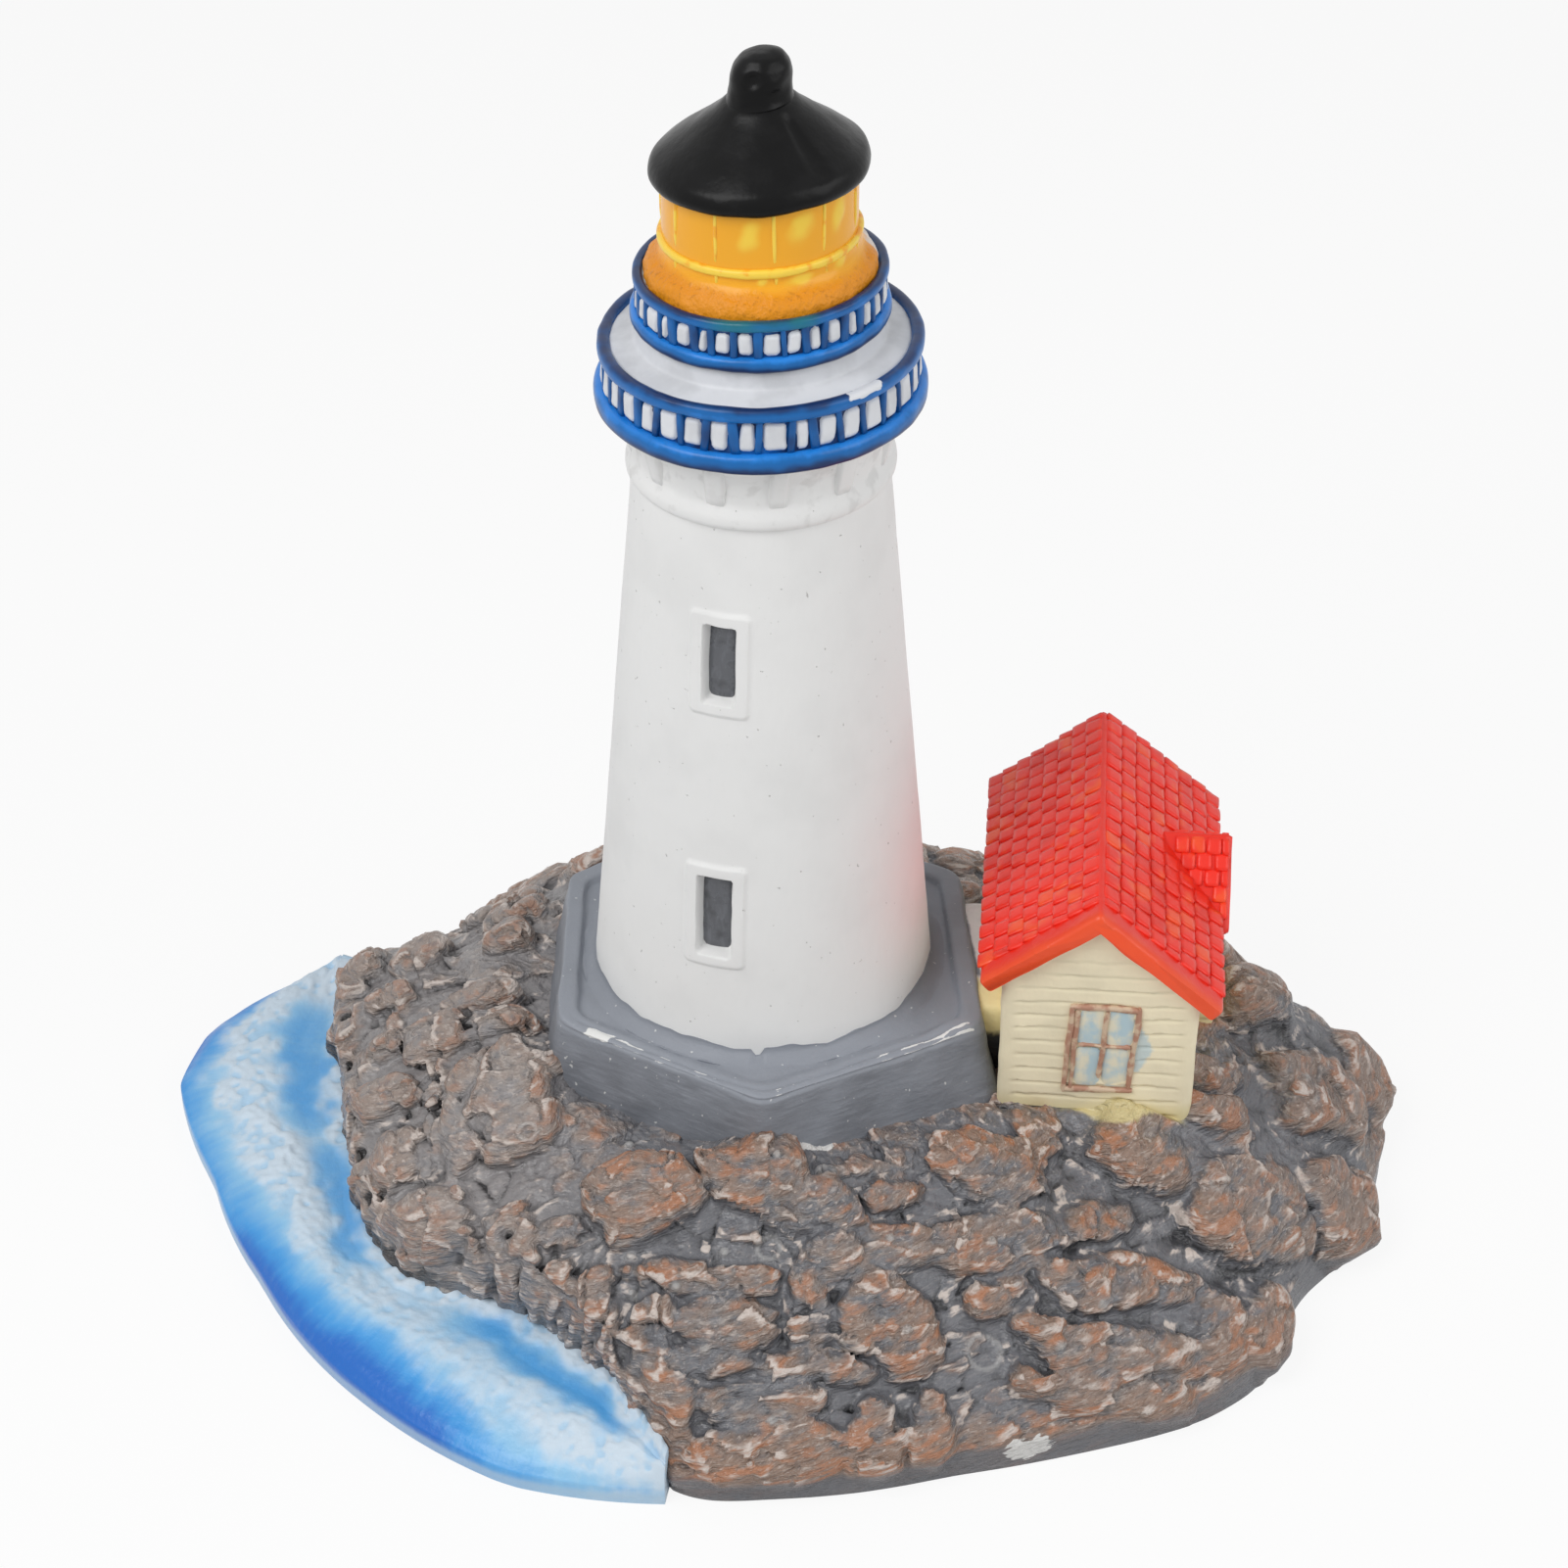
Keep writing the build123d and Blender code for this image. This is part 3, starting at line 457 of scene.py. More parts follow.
def side_faces(rows, columns, ring):
    """Return the faces between rows that are closed loops; a ring joins its last row to its first."""
    faces = []
    for row in range(rows if ring else rows - 1):
        base = row * columns
        above = (row + 1) % rows * columns
        for column in range(columns):
            following = (column + 1) % columns
            faces.append((base + column, base + following, above + following, above + column))
    return faces


def ring_shell(grid):
    """Return the points and faces of a shell closed both along and across."""
    return grid.reshape(-1, 3), side_faces(*grid.shape[:2], True)


def tube(grid):
    """Return the points and faces of a closed shell whose rows are closed loops, with capped ends."""
    rows, columns = grid.shape[:2]
    faces = side_faces(rows, columns, False)
    faces.append(tuple(reversed(range(columns))))
    faces.append(tuple(range((rows - 1) * columns, rows * columns)))
    return grid.reshape(-1, 3), faces


def rounded_loop(half_width, half_height, number, squareness=6):
    """Return a flat loop shaped like a rounded rectangle."""
    turn = np.arange(number) * 2 * pi / number
    size = (np.abs(np.cos(turn)) ** squareness + np.abs(np.sin(turn)) ** squareness) ** (1 / squareness)
    return np.stack([half_width * np.cos(turn) / size, half_height * np.sin(turn) / size], axis=-1)


def lean(points):
    """Tip the top of the tower a little, as the casting does: its right side stands higher."""
    rise = table(points[..., 2], [(74, 0), (82, 0.018), (92, 0.034), (100, 0.055), (106, 0.075)])
    tipped = points.copy()
    tipped[..., 2] += rise * points[..., 0]
    return tipped


def piece_from(name, mesh, material, nodes, sharp):
    """Finish a mesh as a piece of the figurine and tie it to the frame."""
    mesh.materials.clear()
    mesh.materials.append(material)
    mesh.shade_smooth()
    mesh.set_sharp_from_angle(angle=radians(sharp))
    piece = bpy.data.objects.new(name, mesh)
    bpy.context.scene.collection.objects.link(piece)
    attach(piece, "root")
    if nodes:
        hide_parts(*nodes)
    return piece


def make_piece(name, shells, material, nodes, fields=None, sharp=60):
    """Build a piece from closed shells of points and faces, in millimetres."""
    points = []
    faces = []
    for shell_points, shell_faces in shells:
        start = sum(len(group) for group in points)
        points.append(shell_points)
        faces += [tuple(start + corner for corner in face) for face in shell_faces]
    mesh = bpy.data.meshes.new(name)
    mesh.from_pydata((np.concatenate(points) * MM).tolist(), [], faces)
    for label, values in (fields or {}).items():
        layer = mesh.attributes.new(label, "FLOAT", "POINT")
        layer.data.foreach_set("value", np.ravel(values).astype(np.float32))
    shape = bmesh.new()
    shape.from_mesh(mesh)
    bmesh.ops.remove_doubles(shape, verts=shape.verts, dist=1e-6)
    bmesh.ops.dissolve_degenerate(shape, edges=shape.edges, dist=1e-6)
    bmesh.ops.recalc_face_normals(shape, faces=shape.faces)
    shape.to_mesh(mesh)
    shape.free()
    return piece_from(name, mesh, material, nodes, sharp)


def block_tree():
    """Return the node tree that sets a rounded, tapered, uneven block at each point of a mesh."""
    tree = bpy.data.node_groups.get("rounded_blocks")
    if tree:
        return tree
    tree = bpy.data.node_groups.new("rounded_blocks", "GeometryNodeTree")
    sockets = tree.interface
    sockets.new_socket("Points", in_out="INPUT", socket_type="NodeSocketGeometry")
    for label in ("Width", "Depth", "Height", "Taper", "Wobble", "Seed", "Crease"):
        sockets.new_socket(label, in_out="INPUT", socket_type="NodeSocketFloat")
    sockets.new_socket("Paint", in_out="INPUT", socket_type="NodeSocketMaterial")
    sockets.new_socket("Blocks", in_out="OUTPUT", socket_type="NodeSocketGeometry")
    bench = Bench(tree)
    given = tree.nodes.new("NodeGroupInput")
    inlet = {socket.name: Wire(bench, socket) for socket in given.outputs if socket.name}
    size = bench.node("ShaderNodeCombineXYZ", {}, {0: inlet["Width"], 1: inlet["Depth"], 2: inlet["Height"]})
    cube = bench.node(
        "GeometryNodeMeshCube", {}, {"Size": size, "Vertices X": 3, "Vertices Y": 2, "Vertices Z": 3},
    )
    rounding = {"Mesh": cube, "Level": 1, "Edge Crease": inlet["Crease"]}
    block = bench.node("GeometryNodeSubdivisionSurface", {}, rounding)
    place = bench.node("GeometryNodeInputPosition")
    height = bench.node("ShaderNodeSeparateXYZ", {}, {0: place}, "Z")
    narrow = 1 + inlet["Taper"] * (height / inlet["Height"])
    scale = bench.node("ShaderNodeCombineXYZ", {}, {0: narrow, 1: narrow, 2: 1.0})
    tapered = bench.node("ShaderNodeVectorMath", {"operation": "MULTIPLY"}, {0: place, 1: scale})
    block = bench.node("GeometryNodeSetPosition", {}, {"Geometry": block, "Position": tapered})
    words = {"data_type": "FLOAT_VECTOR"}
    turn = bench.node("GeometryNodeInputNamedAttribute", words, {"Name": "turn"})
    stretch = bench.node("GeometryNodeInputNamedAttribute", words, {"Name": "stretch"})
    rotation = bench.node("FunctionNodeEulerToRotation", {}, {0: turn})
    spread = {"Points": inlet["Points"], "Instance": block, "Rotation": rotation, "Scale": stretch}
    blocks = bench.node("GeometryNodeInstanceOnPoints", {}, spread)
    blocks = bench.node("GeometryNodeRealizeInstances", {}, {0: blocks})
    lumps = {"Vector": place, "W": inlet["Seed"], "Scale": 0.9 / MM, "Detail": 1.0}
    lumps = bench.node("ShaderNodeTexNoise", {"noise_dimensions": "4D"}, lumps, "Color")
    lumps = bench.node("ShaderNodeVectorMath", {"operation": "SUBTRACT"}, {0: lumps, 1: (0.5, 0.5, 0.5)})
    shift = bench.node("ShaderNodeVectorMath", {"operation": "SCALE"}, {0: lumps, "Scale": inlet["Wobble"]})
    blocks = bench.node("GeometryNodeSetPosition", {}, {"Geometry": blocks, "Offset": shift})
    blocks = bench.node("GeometryNodeSetShadeSmooth", {}, {"Geometry": blocks})
    blocks = bench.node("GeometryNodeSetMaterial", {}, {"Geometry": blocks, "Material": inlet["Paint"]})
    bench.node("NodeGroupOutput", {}, {"Blocks": blocks})
    return tree


def make_blocks(
    name, places, size, material, nodes, taper=0.0, wobble=0.0, seed=0.0, tip=False, crease=0.0,
):
    """Set rounded blocks at places, each with a point, a turn, a stretch and a shade, as one piece."""
    mesh = bpy.data.meshes.new(name + "_places")
    points = np.array([place[0] for place in places])
    if tip:
        points = lean(points)
    mesh.from_pydata((points * MM).tolist(), [], [])
    for label, column in (("turn", 1), ("stretch", 2)):
        layer = mesh.attributes.new(label, "FLOAT_VECTOR", "POINT")
        values = np.array([place[column] for place in places], np.float32)
        layer.data.foreach_set("vector", values.ravel())
    layer = mesh.attributes.new("shade", "FLOAT", "POINT")
    layer.data.foreach_set("value", np.array([place[3] for place in places], np.float32))
    carrier = bpy.data.objects.new(name + "_places", mesh)
    bpy.context.scene.collection.objects.link(carrier)
    modifier = carrier.modifiers.new("blocks", "NODES")
    modifier.node_group = block_tree()
    given = {
        "Width": size[0] * MM, "Depth": size[1] * MM, "Height": size[2] * MM, "Taper": taper,
        "Wobble": wobble * MM, "Seed": seed, "Crease": crease, "Paint": material,
    }
    for item in modifier.node_group.interface.items_tree:
        if item.in_out == "INPUT" and item.name in given:
            modifier[item.identifier] = given[item.name]
    carrier.update_tag()
    graph = bpy.context.evaluated_depsgraph_get()
    blocks = bpy.data.meshes.new_from_object(carrier.evaluated_get(graph))
    carrier.modifiers.remove(modifier)
    bpy.data.objects.remove(carrier)
    bpy.data.meshes.remove(mesh)
    blocks.name = name
    return piece_from(name, blocks, material, nodes, 180)


# Rock island
# The rows climb along rays from this depth under the tower, from the foot to the terrace
FOCUS = 40.0
ROCK_TOP_REACH = 18.5
ROCK_TOP_LEVEL = 18
ROCK_ROWS = 140
# Runs of columns, closer in front: first bearing, last bearing and number
ROCK_COLUMNS = [(-125, 105, 581), (105, 235, 91)]
ROCK_REACH = 36.0
# Distances that lie outside the island, from its axis and from the focus
OUTSIDE = 120.0
BEYOND = 180.0
# Near-black of the painted shade in the rock's crevices, along its toe and in its holes
PAINTED_SHADE_BLACK = (0.02, 0.02, 0.022)
CASTING_WHITE = (0.74, 0.73, 0.71)
TERRACE_RADIUS = 21.2
TERRACE_TOP = 22.0
TERRACE_FLOOR = 21.2
TERRACE_FOOT = 12.0
BATTER = tan(radians(11))
COTTAGE_CORNER = (21.143, -13.3, 14.0)
COTTAGE_TURN = radians(-4.7)
COTTAGE_WIDTH = 17.2
COTTAGE_LENGTH = 30.0
WING_FRONT = 13.7
WING_BACK = 22.9
WING_OUT = 19.1

# How much of their height the stones keep, by bearing: the front slabs are flatter
STONE_STAND = [(-125, 0.9), (-75, 0.85), (-55, 0.72), (60, 0.68), (80, 0.85), (235, 0.9)]
# A swell of the ground at the back right: across, back and height
SWELL = (51.0, 4.5, 2.6)
# Bubbles left by the casting: bearing, reach and size
BUBBLES = [
    (-12, 35.4, 0.55), (-6, 32.8, 0.5), (-6, 31.1, 0.5), (20, 32.2, 0.5), (-20, 33.3, 0.6),
    (-18, 36.1, 0.5), (-7, 39.9, 0.55), (1, 45.0, 0.5), (18, 39.5, 0.5), (34, 35.6, 0.55),
    (34, 39.5, 0.5), (34, 45.7, 0.55), (3, 24.5, 0.5), (7, 25.2, 0.45), (41, 44.6, 0.5),
    (88, 53.4, 0.6), (83, 50.4, 0.5), (80, 53.3, 0.5), (-30, 23.7, 0.55),
]
# Burst bubbles, and holes, most of them along the shore; the holes are painted near-black as the shade inside
# them
RINGS = [(1, 30.8, 1.0), (-47, 28.4, 0.8), (63, 45.3, 0.7), (27, 42.0, 1.45), (13, 24.8, 0.7)]
HOLES = [
    (10, 43.8, 0.5), (-51, 44.3, 0.6), (47, 33.5, 0.5), (-70, 34.5, 0.5), (-38, 36.0, 0.5), (-96, 40.1, 1.2),
    (-86, 39.2, 0.9), (-81, 39.9, 1.3), (-69, 39.5, 1.2), (-61, 40.5, 1.1), (-56, 42.2, 0.9),
    (-52, 43.8, 1.0), (-39, 38.8, 0.9),
]


def hexagon_reach(bearings, radius):
    """Return the reach of a soft-cornered hexagon with a corner to the front."""
    sides = np.radians(np.arange(30, 390, 60))
    facing = np.maximum(np.cos(np.radians(bearings)[..., None] - sides), 0)
    return radius * cos(radians(30)) / np.sum(facing ** 44, axis=-1) ** (1 / 44)


def to_cottage(points):
    """Return points in the cottage's own frame: along the front, towards the back, and up."""
    offset = points - np.array(COTTAGE_CORNER)
    across = offset[..., 0] * cos(COTTAGE_TURN) + offset[..., 1] * sin(COTTAGE_TURN)
    back = offset[..., 1] * cos(COTTAGE_TURN) - offset[..., 0] * sin(COTTAGE_TURN)
    return np.stack([across, back, offset[..., 2]], axis=-1)


def from_cottage(points):
    """Return points of the cottage's own frame in the figurine's frame."""
    points = np.asarray(points, float)
    x = points[..., 0] * cos(COTTAGE_TURN) - points[..., 1] * sin(COTTAGE_TURN)
    y = points[..., 0] * sin(COTTAGE_TURN) + points[..., 1] * cos(COTTAGE_TURN)
    return np.stack([x, y, points[..., 2]], axis=-1) + np.array(COTTAGE_CORNER)


def is_covered(point, bearing):
    """Tell whether a building stands over a point of the rock."""
    if hypot(point[0], point[1]) < float(hexagon_reach(np.array(bearing), TERRACE_RADIUS + 5 * BATTER)) - 0.2:
        return True
    across, back = to_cottage(np.array(point))[:2]
    if 0 < back < COTTAGE_LENGTH and -1.5 < across < COTTAGE_WIDTH:
        return True
    return WING_FRONT < back < WING_BACK and 0 < across < WING_OUT


def rock_ground(bearings, sway):
    """Return a grid of points on the CAD rock, from its foot to the terrace, the stones' outlines swayed."""
    tree = cad_tree("rock_island")
    grid = np.zeros((ROCK_ROWS, len(bearings), 3))
    focus = Vector((0, 0, -FOCUS))
    top_angle = atan2(FOCUS + ROCK_TOP_LEVEL, ROCK_TOP_REACH)
    shares = np.linspace(0, 1, ROCK_ROWS)
    flat = np.zeros(grid.shape)
    flat[..., 0] = np.radians(bearings) * ROCK_REACH
    flat[..., 1] = ROCK_REACH * shares[:, None]
    hold = sway * ease(shares, 0.04, 0.16)[:, None]
    aside = hold * (cloud(flat, 3.4, 12) + 0.3 * cloud(flat, 1.4, 13)) / ROCK_REACH
    along = hold * (cloud(flat, 3.4, 14) + 0.3 * cloud(flat, 1.4, 15)) / (FOCUS + ROCK_REACH / 2)
    for column, bearing in enumerate(bearings):
        out = Vector(at_bearing(bearing, 1, 0))
        hit = tree.ray_cast(out * OUTSIDE + Vector((0, 0, 0.3)), -out)[0]
        foot_angle = atan2(FOCUS, hypot(hit.x, hit.y))
        level = 0.0
        for row, share in enumerate(shares):
            angle = foot_angle + (top_angle - foot_angle) * share
            bent = angle + along[row, column]
            probe = Vector(at_bearing(bearing + degrees(aside[row, column]), cos(bent), sin(bent)))
            hit = tree.ray_cast(focus + probe * BEYOND, -probe)[0]
            reach = (level + FOCUS) / tan(angle)
            if row and hit:
                far = (hit - focus).length
                if not is_covered(at_bearing(bearing, far * cos(angle), 0), bearing):
                    level = far * sin(angle) - FOCUS
                    reach = far * cos(angle)
            grid[row, column] = at_bearing(bearing, reach, level)
    return grid


def spots(grid, places, shape):
    """Return the most that a shape, of the distance from a spot and its size, gives over all spots."""
    most = np.zeros(grid.shape[:2])
    for bearing, reach, size in places:
        aimed = at_bearing(bearing, reach, 0)
        aside = np.hypot(grid[..., 0] - aimed[0], grid[..., 1] - aimed[1])
        away = np.linalg.norm(grid - grid.reshape(-1, 3)[np.argmin(aside)], axis=-1)
        most = np.maximum(most, shape(away, size))
    return most


def stripes(place, pitch):
    """Return a sawtooth from -0.5 to 0.5 along a line, with a sharp drop."""
    part = place / pitch - np.floor(place / pitch)
    return part - ease(part, 0.86, 1.0) - 0.43


def rock_detail(grid, slope, turn, look):
    """Return how far the facets, wrinkles, ledges and gouges stand out of the rock."""
    arc = np.radians(turn) * ROCK_REACH
    bent = grid + 0.8 * jostle(grid, 2.6, 21)
    crack, facet = facets(bent * np.array([1, 1, 1.7]), 4.2, 1)
    # The wrinkles lie along the slabs
    drift = slope - 0.22 * arc + 1.3 * cloud(grid, 4.5, 3)
    long_way = arc + 1.0 * cloud(grid, 3.0, 2)
    wrinkles = 0
    for number, (size, share) in enumerate([(1.7, 0.6), (0.85, 0.5)]):
        lie = np.stack([long_way / (3.2 * size), drift / size, 0.15 * grid[..., 2]], axis=-1)
        wrinkles = wrinkles + share * (1 - 2.4 * np.abs(cloud(lie, 1.0, 33 + number)))
    # The left and the back are lumpier than the front
    rough = 1 + 0.6 * np.maximum(ease(turn, -42, -60), ease(turn, 75, 100))
    detail = look.facet / MM * facet * rough + look.wrinkle / MM * wrinkles
    detail = detail - look.crack / MM * ease(crack, 0.45, 0.05)
    # Layered ledges over the front, upright gouges at the lower left
    line = grid[..., 2] * 1.15 + 0.12 * grid[..., 0] + 1.1 * cloud(grid, 5, 5) + 0.3 * cloud(grid, 1.6, 6)
    ledges = stripes(line, look.ledge_pitch / MM) * ease(cloud(grid, 4, 7), -0.45, 0.25)
    detail = detail + between(turn, -14, 62, 8) * ledges * look.ledge / MM
    strands = np.stack([arc / 0.95 + 0.7 * cloud(grid, 3, 8), slope / 7, 0 * arc], axis=-1)
    gouges = -np.clip(1 - 2.6 * np.abs(cloud(strands, 1.0, 9)), 0, 1)
    detail = detail + between(turn, -46, -13, 6) * ease(slope, 22, 12) * gouges * look.gouge / MM
    # The toe of the rock is jagged where the sea meets it
    toe = between(turn, -113, -12, 3) * between(grid[..., 2], 3.4, 7.0, 1.2)
    return detail + toe * (0.5 * cloud(grid, 1.7, 31) + 0.35 * cloud(grid, 0.9, 32))


def shape_rock(look):
    """Return the rock's points with its facets, bubbles and smooth foot, and what its paint needs."""
    bearings = np.concatenate([np.linspace(*run)[:-1] for run in ROCK_COLUMNS])
    ground = relax(rock_ground(bearings, look.sway / MM), 2)
    smooth = blur(ground, 9, 3)
    turn = np.broadcast_to(bearings, ground.shape[:2])
    slope = np.linalg.norm(np.diff(ground, axis=0, prepend=ground[:1]), axis=-1).cumsum(axis=0)
    stand = 1 - (1 - table(turn, STONE_STAND)) * ease(slope, 1.0, 4.0)
    # The stones lie lower beside the terrace
    rim = hexagon_reach(turn, TERRACE_RADIUS + 9 * BATTER)
    away = np.hypot(smooth[..., 0], smooth[..., 1]) - rim
    stand = stand * (0.35 + 0.65 * ease(away, 0.0, 3.0)) * (0.2 + 0.8 * ease(slope, 0.0, 3.0))
    grid = smooth + (ground - smooth) * stand[..., None]
    relief = np.sum((ground - smooth) * normals(smooth), axis=-1)
    across, back, rise = SWELL
    hump = ease(np.hypot(grid[..., 0] - across, grid[..., 1] - back), 9.5, 2.0) * ease(slope, 2.0, 7.0)
    grid[..., 2] += rise * hump
    level = grid[..., 2]
    # The foot is a smooth band
    calm = ease(level + 0.5 * cloud(grid, 5, 10), 2.0, 3.6)
    detail = rock_detail(grid, slope, turn, look) * (0.1 + 0.9 * calm) * ease(slope, 0, 0.8)
    fine = detail - blur(detail, 2, 2)
    bead = spots(grid, BUBBLES, lambda away, size: ease(away, size, size * 0.5))
    ring = spots(grid, RINGS, lambda away, size: ease(np.abs(away - size), 0.34, 0.1))
    hole = spots(grid, HOLES, lambda away, size: ease(away, size, size * 0.3))
    detail = detail + 0.32 * bead + 0.25 * ring - 0.9 * hole
    shaped = raised(grid, detail)
    shaped[0, :, 2] = 0
    shaped[..., 2] = np.maximum(shaped[..., 2], 0)
    house = to_cottage(shaped)
    drip = 0.5 + 0.5 * cloud(house, 1.6, 11) + 2.4 * ease(np.abs(house[..., 0] - 11.0), 3.4, 0.6)
    cream = between(house[..., 0], 6.0, COTTAGE_WIDTH - 0.8, 0.8)
    cream = cream * between(house[..., 1], -drip, 1.5 + 0 * drip, 0.2)
    chip = between(turn, 25.2, 30.0, 1.6) * between(level, 0.8, 2.9, 0.8)
    reach = np.hypot(shaped[..., 0], shaped[..., 1])
    chip = np.maximum(chip, between(turn, 8.5, 17.5, 1.5) * between(reach - rim, -0.6, 0.8, 0.25))
    fields = {
        "relief": relief + 1.4 * blur(detail, 2, 1), "fine": fine, "bead": np.maximum(bead, 0.7 * ring),
        "cream": cream, "chip": chip, "hole": hole,
    }
    return shaped, fields


def rock_finish(look, cream):
    """Return the rock's paint: slate grey, brown washed over the stones and pale paint on the edges."""
    paint = Finish("rock_paint")
    relief = paint.field("relief")
    fine = paint.field("fine")
    x, y, z = paint.axes()
    place = paint.node("ShaderNodeCombineXYZ", {}, {0: 0.3 * x, 1: 0.3 * y, 2: 1.5 * (z - 0.16 * x)})
    broad = paint.noise(7.0, 3)
    patch = paint.noise(2.4, 4)
    strokes = paint.noise(0.8, 3, place=place)
    brush = paint.noise(0.36, 4, place=place)
    grain = paint.noise(0.16, 2, place=place)
    left = paint.step(x, -8.0, -26.0)
    umber = paint.mix(tone(look.brown, 0.42), look.slate, 0.2 + 0.7 * left)
    stone = paint.step(0.9 * relief + 1.2 * fine + 0.8 * (patch - 0.5), -0.6, 0.32)
    cover = stone * paint.step(patch + 0.7 * (strokes - 0.5) + 0.2 * relief, 0.4, 0.62)
    paint.start(look.slate, look.stone, cover)
    wash = 0.75 * relief + 1.4 * fine + 2.2 * (strokes - 0.5) + 1.4 * (broad - 0.5) + 1.8 * (patch - 0.5)
    wash = paint.step(wash, -0.15, 1.0) * (1 - 0.5 * left) * (1 - 0.3 * paint.step(x, 36.0, 46.0))
    paint.lay(look.pale, 0.22 * left)
    paint.lay(look.brown, 0.9 * wash)
    paint.lay(look.pale, (0.08 + 0.27 * stone) * paint.step(brush, 0.54, 0.68))
    paint.lay(umber, (0.1 + 0.45 * stone) * paint.step(brush, 0.47, 0.34))
    copper = wash * paint.step(paint.noise(1.0, 3, place=place) + 0.8 * fine, 0.48, 0.64)
    paint.lay(look.rust, 0.8 * copper)
    edge = paint.step(fine + 0.1 * (grain - 0.5), 0.04, 0.13) * paint.step(strokes, 0.42, 0.58)
    paint.lay(look.pale, 0.95 * paint.maths("MAXIMUM", edge, 0.5 * stone * paint.step(grain, 0.6, 0.72)))
    # Painted shade: near-black along the toe where the sea meets the rock, in the deepest crevices and in the
    # holes
    toe = paint.step(x, -26.0, -31.0) * paint.step(y, 16.0, 11.0)
    toe = toe * paint.step(z + 3.0 * (patch - 0.5) + 1.5 * (strokes - 0.5), 6.6, 5.8)
    painted_shade = paint.maths("MAXIMUM", 0.75 * paint.step(fine + 0.15 * relief, -0.12, -0.4), 0.8 * toe)
    painted_shade = paint.maths("MAXIMUM", painted_shade, 0.9 * paint.step(paint.field("hole") + 0.6 * (patch - 0.5), 0.3, 0.6))
    paint.lay(PAINTED_SHADE_BLACK, painted_shade)
    band = paint.step(z + 1.5 * (broad - 0.5), 3.3, 2.2)
    paint.lay(look.slate, 0.85 * band)
    paint.lay(look.bead, 0.6 * paint.field("bead"))
    paint.lay(tone(cream, 0.88), paint.field("cream"))
    chipped = paint.step(paint.field("chip") + 1.2 * (patch - 0.5) + 1.2 * (brush - 0.5), 0.5, 0.6)
    paint.lay(CASTING_WHITE, chipped)
    height = (0.4 + 0.6 * stone) * (0.8 * strokes + 0.7 * brush + 0.25 * grain) + 0.3 * paint.noise(0.7, 3)
    return paint.done(0.18 + 0.16 * strokes, height, 0.6)


class FIGURINE_OT_rock(bpy.types.Operator):
    """Build the rock island over its CAD form, with its ledges, gouges and bubbles."""

    bl_idname = "figurine.rock"
    bl_label = "Rock island"

    def execute(self, context):
        look = context.scene.figurine
        grid, fields = shape_rock(look.rock)
        paint = rock_finish(look.rock, look.cottage.sand)
        make_piece("rock", [tube(grid)], paint, ["rock_island"], fields, 75)
        return {"FINISHED"}


# Sea
SEA_FIRST = -115.5
SEA_LAST = -9.5
SEA_SECTIONS = 420
SEA_REACH = 45
SEA_HEIGHTS = [
    (0.0, 2.2), (0.12, 2.8), (0.25, 3.45), (0.38, 4.05), (0.5, 4.35), (0.62, 4.32), (0.75, 4.18),
    (0.88, 4.3), (1.0, 4.75),
]
FOAM_RIDGE = [
    (-115.5, 0.5), (-101, 0.38), (-91, 0.44), (-84, 0.42), (-75, 0.52), (-58, 0.64), (-45, 0.62), (-35, 0.5),
    (-23, 0.42), (-9, 0.3),
]
# How strongly the foam stands along the ridge
FOAM_STRENGTH = [(-115.5, 1.0), (-78, 1.0), (-62, 0.75), (-40, 0.55), (-26, 0.6), (-16, 1.0), (-9, 1.0)]
# Blue pools along the shore: first and last bearing, how far across they lie at each, and strength
POOLS = [(-105, -82, 0.72, 0.84, 0.95), (-79, -56, 0.85, 0.86, 0.9), (-41, -14, 0.86, 0.66, 1.0)]
# How far in the deep blue of the rim is brushed
RIM_DEPTH = [
    (-115.5, 0.2), (-100, 0.12), (-88, -0.04), (-74, 0.0), (-58, 0.2), (-44, 0.26), (-34, 0.14),
    (-26, -0.06), (-18, -0.2),
]


